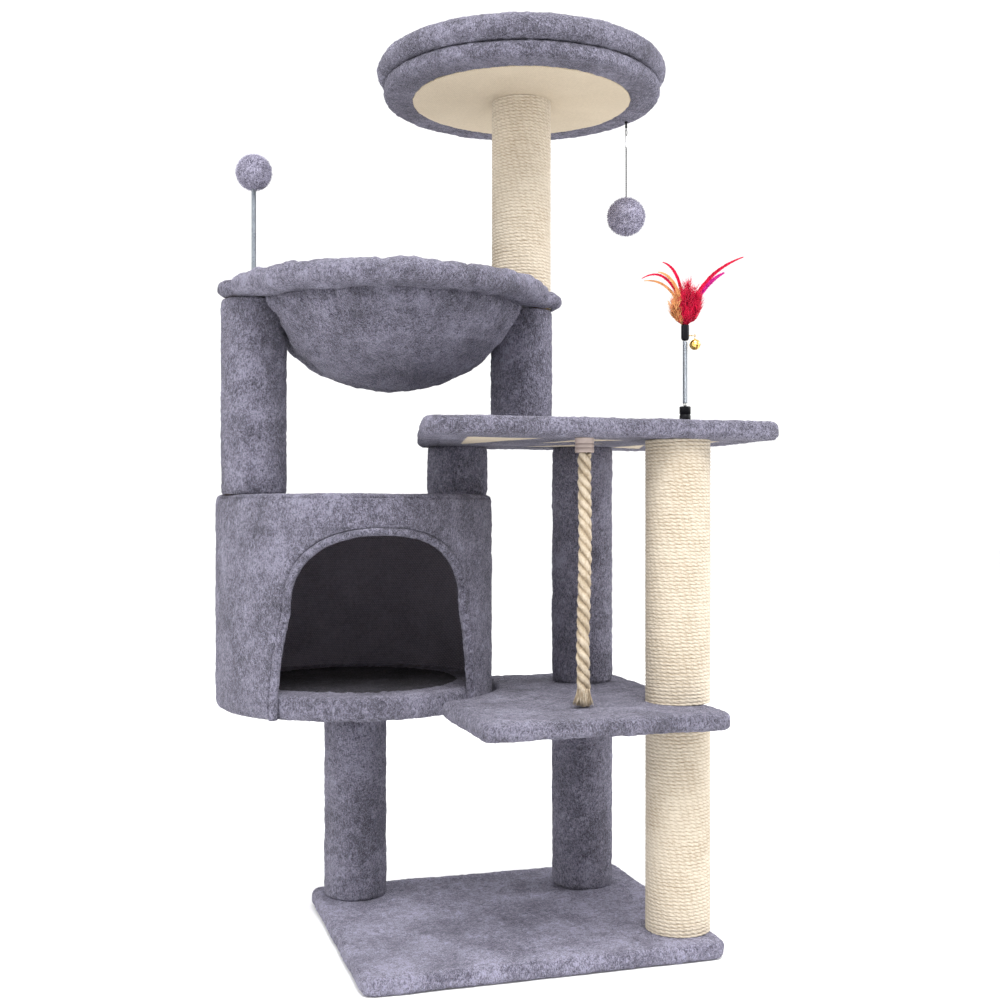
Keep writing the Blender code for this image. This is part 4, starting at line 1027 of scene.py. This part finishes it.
def make_hammock():
    """The plush bag and its rolled, gathered rim, with a hole round each post that goes through it."""
    centre, hoop_low, _, hoop = column("hammock_hoop")
    reach = hoop - HOOP_HALF_WIDTH
    bag_low, bag_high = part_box("hammock_bag")
    bridge = column("bridge_post_sleeve")[0]
    far_post = column("hammock_post_sleeve")[0]
    heading = atan2(bridge.y - centre.y, bridge.x - centre.x)
    mouth = reach - BAG_INSET
    inside = mouth - BAG_WALL
    beside = asin((PLUSH_POST + BAG_POST_CLEARANCE) / reach)
    rng = random.Random(3)
    pinches = []
    for _ in range(PINCHES):
        pinches.append((rng.uniform(0, tau), rng.uniform(0.4, 1.0), rng.uniform(0.012, 0.035)))
    sides, bag_rows, rim_rows = 400, 46, 46
    top = bag_high.z - 0.001
    sections = []
    for i in range(sides):
        turn = tau * i / sides
        to_bridge = min(turn, tau - turn)
        near = min(to_bridge, pi - to_bridge)
        over = RIM_GATHER if to_bridge < pi / 2 else RIM_DOME
        bulge = crossing(near, reach, PLUSH_POST + over, 1) or 0.0
        keep_out = crossing(near, reach, PLUSH_POST + BAG_POST_CLEARANCE, -1)
        outer = -soft_min(-(reach + RIM_REACH), -bulge, 0.010)
        under = hoop_low - RIM_DROP * smooth_step(beside, beside + 0.12, near)
        pinch = 0.0
        for at, depth, width in pinches:
            off = (turn - at + pi) % (tau) - pi
            pinch += depth * exp(-((off / width) ** 2))
        edge = ray(turn) * 0.2
        gather = noise(edge / 0.0075) + 0.6 * noise(edge / 0.0038 + Vector((7, 3, 0)))
        plump = 0.0024 * noise(edge / 0.045) - 0.0022 * pinch
        section = []
        for k in range(bag_rows):
            share = (k / (bag_rows - 1)) ** 1.5
            radius = mouth * sqrt(1.0 - (1.0 - share) ** 1.6)
            if keep_out:
                radius = soft_min(radius, keep_out, 0.012) if k else 0.0
            fade = smooth_step(0.45, 1.0, share)
            flare = BAG_FLARE * smooth_step(0.70, 1.0, share)
            radius += (0.0050 * gather * fade + flare) * (0.3 if keep_out else 1.0)
            section.append((max(radius, 0.0), bag_low.z + share * (under - bag_low.z)))
        middle, half = (outer + inside) / 2, (outer - inside) / 2
        height, rise = (top + under) / 2, (top - under) / 2
        for k in range(rim_rows):
            around = radians(-122 + (196 + 122) * k / (rim_rows - 1))
            power = 2 / 2.35
            c, s = cos(around), sin(around)
            low_side = smooth_step(-0.2, -0.95, s)
            seam = exp(-(((around - SEAM_TURN) / 0.16) ** 2))
            bow = plump + 0.0036 * gather * low_side - 0.0042 * seam
            x = copysign(abs(c) ** power, c) * (half + bow)
            z = copysign(abs(s) ** power, s) * (rise + (plump if s > 0 else 0.0))
            section.append((middle + x, height + z))
        inner_rows = bag_rows - 6
        for k in range(inner_rows):
            share = (1.0 - k / (inner_rows - 1)) ** 1.5
            radius = mouth * sqrt(1.0 - (1.0 - share) ** 1.6)
            if keep_out:
                radius = soft_min(radius, keep_out, 0.012)
            radius *= inside / mouth
            z = bag_low.z + BAG_WALL + share * (under - bag_low.z - BAG_WALL)
            section.append((max(radius, 0.0), z))
        sections.append((turn + heading, section))
    loops = []
    levels = len(sections[0][1])
    for level in range(levels):
        if level in (0, levels - 1):
            loops.append([(centre.x, centre.y, sections[0][1][level][1])])
            continue
        loop = []
        for turn, section in sections:
            radius, z = section[level]
            loop.append((centre.x + radius * cos(turn), centre.y + radius * sin(turn), z))
        loops.append(loop)
    mesh = to_mesh("hammock_plush", loft(loops))
    ruffle(mesh, [(0.045, 0.0028), (0.017, 0.0026), (0.0065, 0.0012)])
    obj = piece("hammock_plush", mesh, "plush", "tree", "hammock_bag")
    holes = []
    for post, radius, sides in ((bridge, SISAL_POST + 0.0010, 72), (far_post, WAND_HOLE, 32)):
        ends = hoop_low - 0.03, bag_high.z + 0.03
        profile = [(0.0, ends[0]), (radius, ends[0]), (radius, ends[1]), (0.0, ends[1])]
        holes.append(turned(profile, post, sides))
    cutter = linked("post_holes", to_mesh("post_holes", joined(holes)))
    cut = obj.modifiers.new("holes", "BOOLEAN")
    cut.object = cutter
    cut.solver = "EXACT"
    applied(obj)
    bpy.data.objects.remove(cutter)


# ---------------------------------------------------------------- perch
def puff(obj, cap, held_below):
    """Fills a soft shape out with a short cloth simulation. No point moves further than cap."""
    rest = coordinates(obj.data)
    held = obj.vertex_groups.new(name="held")
    held.add([int(i) for i in np.flatnonzero(rest[:, 2] < held_below)], 1.0, "REPLACE")
    cloth = obj.modifiers.new("cloth", "CLOTH")
    cloth.settings.quality = 5
    cloth.settings.use_pressure = True
    cloth.settings.uniform_pressure_force = PRESSURE
    cloth.settings.vertex_group_mass = "held"
    cloth.settings.effector_weights.gravity = 0.0
    scene = bpy.context.scene
    for number in range(1, CLOTH_FRAMES + 1):
        scene.frame_set(number)
    graph = bpy.context.evaluated_depsgraph_get()
    moved = coordinates(obj.evaluated_get(graph).data)
    obj.modifiers.clear()
    scene.frame_set(1)
    shift = moved - rest
    length = np.linalg.norm(shift, axis=1, keepdims=True)
    shift *= np.minimum(1.0, cap / np.maximum(length, 1e-9))
    set_coordinates(obj.data, rest + shift)


def make_padded(name, node, profile, held_below, cap):
    """A stuffed round piece on the perch, filled out by simulation and covered in pile."""
    obj = linked(name, to_mesh(name, turned(profile, column(node)[0], 120)))
    add_grid(obj, PADDED_GRID)
    applied(obj)
    puff(obj, cap, held_below)
    subdivide = obj.modifiers.new("subdivide", "SUBSURF")
    subdivide.levels = subdivide.render_levels = 1
    mesh = ruffle(smooth(taken(obj)), PILE_LAYERS)
    piece(name, mesh, "plush", "tree", node)


def make_perch_padding():
    _, low, high, radius = column("perch_bolster")
    inner = column("perch_cushion")[3] + 0.003
    middle, half = (radius + inner) / 2, (radius - inner) / 2
    profile = []
    drop = sin(radians(-42))
    for i in range(27):
        turn = radians(-42 + 264 * i / 26)
        rise = (high - low - 0.001) * (sin(turn) - drop) / (1 - drop)
        profile.append((middle + (half - 0.001) * cos(turn), low + rise))
    make_padded("perch_bolster_pile", "perch_bolster", profile, low + 0.003, 0.005)

    _, low, high, radius = column("perch_cushion")
    profile = [(0.0, high - 0.002)]
    for i in range(1, 13):
        turn = pi / 2 * i / 12
        crown = (high - 0.002 - low) * (0.35 + 0.65 * cos(turn) ** 0.7)
        profile.append(((radius - 0.001) * sin(turn) ** 0.8, low + crown))
    profile += [(radius - 0.003, low), (0.0, low)]
    make_padded("perch_cushion_pile", "perch_cushion", profile, low + 0.002, 0.006)


# ---------------------------------------------------------------- spring wands
def coil(node, body, name):
    """A close wound wire spring that fills a CAD tube and reaches down past it to its socket."""
    axis, low, high, radius = column(node)
    low -= COIL_TUCK
    middle = radius - WIRE / 2
    pitch = WIRE * 1.16
    turns = (high - low - WIRE) / pitch
    steps = round(turns * 13)
    path = []
    for i in range(steps + 1):
        turn = tau * turns * i / steps
        z = low + WIRE / 2 + (high - low - WIRE) * i / steps
        path.append((axis.x + middle * cos(turn), axis.y + middle * sin(turn), z))
    piece(name, swept(path, WIRE / 2, 6), "spring", body, node)


def thread(radius, depth, top, foot):
    """The ridges of a screw, from its top down to near its foot."""
    profile = []
    z = top
    while z > foot + 0.0022:
        profile += [(radius, z), (radius - depth, z - 0.0006)]
        z -= 0.0012
    return profile


def make_pompom_wand():
    axis, low, high, radius = column("wand_socket")
    collar = column("hammock_hoop")[2] + 0.0003
    profile = [(0.0, high - 0.0024), (POCKET, high - 0.0024), (POCKET, high - 0.0004)]
    profile += [(POCKET + 0.0004, high), (radius - 0.0006, high), (radius, high - 0.0006)]
    for i in range(6):
        z = high - 0.004 - 0.0035 * i
        profile += [(radius, z + 0.0008), (radius - 0.0005, z), (radius, z - 0.0008)]
    profile += [(radius, collar + 0.0004), (radius - 0.0004, collar), (WAND_STUD, collar)]
    profile += thread(WAND_STUD, 0.0005, collar, low)
    profile += [(WAND_STUD - 0.0006, low), (0.0, low)]
    piece("wand_collar", turned(profile, axis, 48), "black", "tree", "wand_socket")
    swivel("wand_swivel", "wand_foot", "wand_hinge")
    coil("wand_spring", "wand", "wand_coil")
    pompom("wand_pompom_pile", "wand_pompom", "wand", 9)


def swivel(name, node, body):
    """The small ball that a wand turns on, with a flat waist."""
    axis, low, high, radius = column(node)
    height = (low + high) / 2
    profile = []
    rows = 16
    for i in range(rows + 1):
        turn = pi * i / rows
        waist = 0.93 if abs(i - rows / 2) < 1.5 else 1.0
        out = radius * sin(turn) * waist if 0 < i < rows else 0.0
        profile.append((out, height + radius * cos(turn)))
    piece(name, turned(profile, axis, 28), "zinc", body, node)


def make_feather_socket():
    axis, low, high, radius = column("feather_socket")
    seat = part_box("upper_cover")[1].z + 0.0003
    profile = [(0.0, high - 0.0024), (POCKET, high - 0.0024), (POCKET, high - 0.0004)]
    profile += [(POCKET + 0.0005, high), (radius - 0.0008, high), (radius - 0.0002, high - 0.0003)]
    profile += [(radius, high - 0.0009)]
    groove = [(0.0, 0.0105), (0.0006, 0.0098), (0.0006, 0.0088), (0.0, 0.0081), (0.0, 0.0008), (0.0006, 0.0)]
    profile += [(radius - deep, seat + up) for deep, up in groove]
    profile += thread(FEATHER_SCREW, 0.0006, seat, low) + [(0.0004, low + 0.0004), (0.0, low)]
    piece("feather_base", turned(profile, axis, 56), "black", "tree", "feather_socket")


def make_feather_cap():
    """The moulded cap over the spring's end, round at its foot, with a wire eye for the bell."""
    _, low, high, _ = column("feather_cap")
    axis, _, _, spring_radius = column("feather_spring")
    radius, foot = CAP_RADIUS, spring_radius * 0.7
    profile = [(0.0, low), (foot, low + 0.0001)]
    for i in range(1, 9):
        turn = pi / 2 * i / 8
        profile.append((foot + (radius - foot) * sin(turn), low + 0.0042 * (1.0 - cos(turn))))
    profile += [(radius, high - 0.0012), (radius - 0.0003, high - 0.0003), (radius - 0.0010, high)]
    profile += [(radius - 0.0014, high - 0.0008), (0.0, high - 0.0009)]
    piece("feather_ferrule", turned(profile, axis, 44), "black", "feather_wand", "feather_cap")
    bell_low, bell_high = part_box("bell")
    lug = bell_high.z - 0.002
    start, end = axis.x + radius * 0.8, (bell_low.x + bell_high.x) / 2 - 0.0023
    arm = [(start + (end - start) * i / 10, axis.y, lug) for i in range(11)]
    eye = ring((end - 0.0015, axis.y), 0.0015, lug, 27)
    wire = joined([swept(arm, 0.0006, 8), swept(eye + eye[:1], 0.00045, 8)])
    piece("bell_eye", wire, "gold", "feather_wand")


def make_bell():
    """A hollow jingle bell: two pressed halves, a crossed slot below, a ball inside and a wire ring."""
    low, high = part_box("bell")
    centre = ((low + high) / 2).xy
    radius, height = BELL_RADIUS, low.z + BELL_RADIUS
    middle = Vector((centre.x, centre.y, height))
    rows, sides = 48, 72

    bm = bmesh.new()

    def shell_point(row, i):
        tilt = pi * row / rows
        reach = radius - 0.0002 + 0.0005 * exp(-(((tilt - pi / 2) / 0.055) ** 2))
        flat = ray(tau * i / sides) * sin(tilt) + Vector((0.0, 0.0, cos(tilt)))
        return bm.verts.new(middle + flat * reach)

    grid = [[shell_point(row, i) for i in range(sides)] for row in range(1, rows)]
    pole = shell_point(0, 0)
    for i in range(sides):
        j = (i + 1) % sides
        for row in range(rows - 2):
            square = [grid[row][i], grid[row + 1][i], grid[row + 1][j], grid[row][j]]
            place = sum((v.co for v in square), Vector()) / 4 - middle
            slot = min(abs(place.x), abs(place.y)) < 0.0009 and place.z < -0.0008
            if not slot:
                bm.faces.new(square)
        bm.faces.new((pole, grid[0][i], grid[0][j]))
    loose = [v for v in bm.verts if not v.link_faces]
    bmesh.ops.delete(bm, geom=loose, context="VERTS")
    bmesh.ops.recalc_face_normals(bm, faces=bm.faces)
    mesh = bpy.data.meshes.new("bell_shell")
    bm.to_mesh(mesh)
    bm.free()
    shell = linked("bell_draft", smooth(mesh))
    thick = shell.modifiers.new("wall", "SOLIDIFY")
    thick.thickness = BELL_WALL
    thick.offset = -1.0
    piece("bell_shell", taken(shell), "gold", "bell_swing", "bell")
    clapper = [(0.0, height - 0.0065)]
    for i in range(1, 12):
        turn = pi * i / 12
        clapper.append((0.0021 * sin(turn), height - 0.0044 - 0.0021 * cos(turn)))
    clapper.append((0.0, height - 0.0023))
    hoop = []
    for i in range(29):
        turn = tau * i / 28
        hoop.append((centre.x, centre.y + 0.0017 * cos(turn), high.z - 0.0019 + 0.0017 * sin(turn)))
    top = height + radius
    neck = [(0.0, top - 0.0003), (0.0013, top - 0.0003), (0.0010, top + 0.0006), (0.0, top + 0.0008)]
    parts = [turned(clapper, centre, 24), swept(hoop, 0.0004, 8), turned(neck, centre, 20)]
    piece("bell_ring", joined(parts), "gold", "bell_swing")


# ---------------------------------------------------------------- feathers
def bow_path(root, lean, tip, count):
    """A curve from a root that leaves it towards lean and ends at tip."""
    points = []
    for i in range(count):
        t = i / (count - 1)
        points.append(root * (1 - t) ** 2 + lean * 2 * t * (1 - t) + tip * t * t)
    return points


def plume(root, lean, tip, width, rng):
    """A narrow feather: a tapering quill with barbs down both sides, widest above its middle."""
    path = bow_path(root, lean, tip, 26)
    quill = [0.00058 - 0.00040 * i / 25 for i in range(26)]
    parts = [swept(path, quill, 6)]
    face = ray(FACING + pi / 2)
    for i in range(PLUME_STATIONS):
        t = 0.22 + 0.76 * i / (PLUME_STATIONS - 1)
        k = min(int(t * 25), 24)
        point = path[k].lerp(path[k + 1], t * 25 - k)
        along = (path[k + 1] - path[k]).normalized()
        outward = along.cross(face).normalized()
        wide = width * sin(pi * min(1.0, (1.0 - t) / 0.62 * 0.5 + 0.06)) ** 0.9
        wide *= rng.uniform(0.8, 1.15)
        for side in (-1, 1):
            sweep = along * 1.15 + outward * side * 0.75 + face * rng.uniform(-0.25, 0.25)
            sweep.normalize()
            end = point + sweep * wide
            bend = point + sweep * wide * 0.5 + outward * side * wide * 0.10
            parts.append(swept([point, bend, end], [0.00036, 0.00032, 0.00012], 4))
    return joined(parts)


def make_feathers():
    """Six long plumes over a collar of soft down, in crimson, magenta and orange."""
    axis = column("feather_spring")[0]
    root = Vector((axis.x, axis.y, column("feather_cap")[2] - 0.0006))
    along, depth = ray(FACING), ray(FACING + pi / 2)
    rng = random.Random(21)

    def at(x, z, y=0.0):
        return root + along * x + depth * y + Vector((0.0, 0.0, z))

    plumes = [
        ("crimson", at(-0.001, 0.072, 0.002), at(-0.028, 0.080, 0.004), 0.0036),
        ("crimson", at(-0.016, 0.082, -0.003), at(-0.0555, 0.0575, -0.004), 0.0030),
        ("orange", at(-0.014, 0.062, 0.003), at(-0.052, 0.0560, 0.003), 0.0030),
        ("orange", at(-0.008, 0.064, -0.004), at(-0.035, 0.066, -0.004), 0.0036),
        ("crimson", at(0.016, 0.066, -0.002), at(0.0740, 0.0855, -0.003), 0.0042),
        ("magenta", at(0.016, 0.050, 0.003), at(0.0505, 0.0670, 0.004), 0.0060),
    ]
    made = {"crimson": [], "magenta": [], "orange": []}
    for colour, lean, tip, width in plumes:
        base = root + along * rng.uniform(-0.0018, 0.0018) + depth * rng.uniform(-0.0018, 0.0018)
        made[colour].append(plume(base, lean, tip, width, rng))
    for i in range(DOWN_STEMS):
        spread = rng.uniform(-0.017, 0.017)
        rise = rng.uniform(0.034, 0.056) - abs(spread) * 0.8
        tip = at(spread + 0.003, rise, rng.uniform(-0.012, 0.012))
        lean = at(spread * 1.3 + 0.002, 0.012, rng.uniform(-0.014, 0.014))
        base = root + along * spread * 0.15 + depth * rng.uniform(-0.002, 0.002)
        colour = "orange" if spread < -0.006 and i % 2 else "crimson"
        stem = bow_path(base, lean, tip, 14)
        made[colour].append(swept(stem, [0.0005 - 0.0003 * k / 13 for k in range(14)], 4))
        for _ in range(DOWN_BARBS):
            t = rng.uniform(0.10, 1.0)
            k = min(int(t * 13), 12)
            point = stem[k].lerp(stem[k + 1], t * 13 - k)
            way = rng.uniform(0, tau)
            out = along * cos(way) + depth * sin(way)
            reach = rng.uniform(0.004, 0.0105) * (1.0 - 0.3 * t)
            rise = rng.uniform(0.5, 1.6)
            mid = point + (out + Vector((0, 0, rise * 0.4))) * reach * 0.5
            end = point + (out + Vector((0, 0, rise))) * reach
            made[colour].append(swept([point, mid, end], [0.00034, 0.00028, 0.00010], 3))
    for colour, parts in made.items():
        name = f"feathers_{colour}"
        nodes = ["feathers"] if colour == "crimson" else []
        piece(name, joined(parts), colour, "feather_wand", *nodes)


# ---------------------------------------------------------------- the CAD nodes that stay
def finish_frame_nodes():
    """Better materials for the CAD nodes that show or hide as they are."""
    looks = {"hammock_hoop": "hoop", "_tube": "cardboard", "_board": "board", "base_bolt": "zinc"}
    for name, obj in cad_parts.items():
        for part, look in looks.items():
            if name.startswith(part) or name.endswith(part):
                obj.data.materials.clear()
                obj.data.materials.append(MATS[look])


def main():
    make_camera()
    make_studio()
    make_rope()
    make_binding()
    make_hanging_toy()
    make_ferrule()
    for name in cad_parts:
        if name.endswith("_sleeve"):
            make_sleeve(name)
        elif name.endswith("_sisal"):
            make_winding(name)
    make_boards()
    make_condo_wall()
    make_welt()
    make_hammock()
    make_perch_padding()
    make_pompom_wand()
    make_feather_socket()
    swivel("feather_swivel", "feather_foot", "feather_hinge")
    coil("feather_spring", "feather_wand", "feather_coil")
    make_feather_cap()
    make_bell()
    make_feathers()
    finish_frame_nodes()


main()
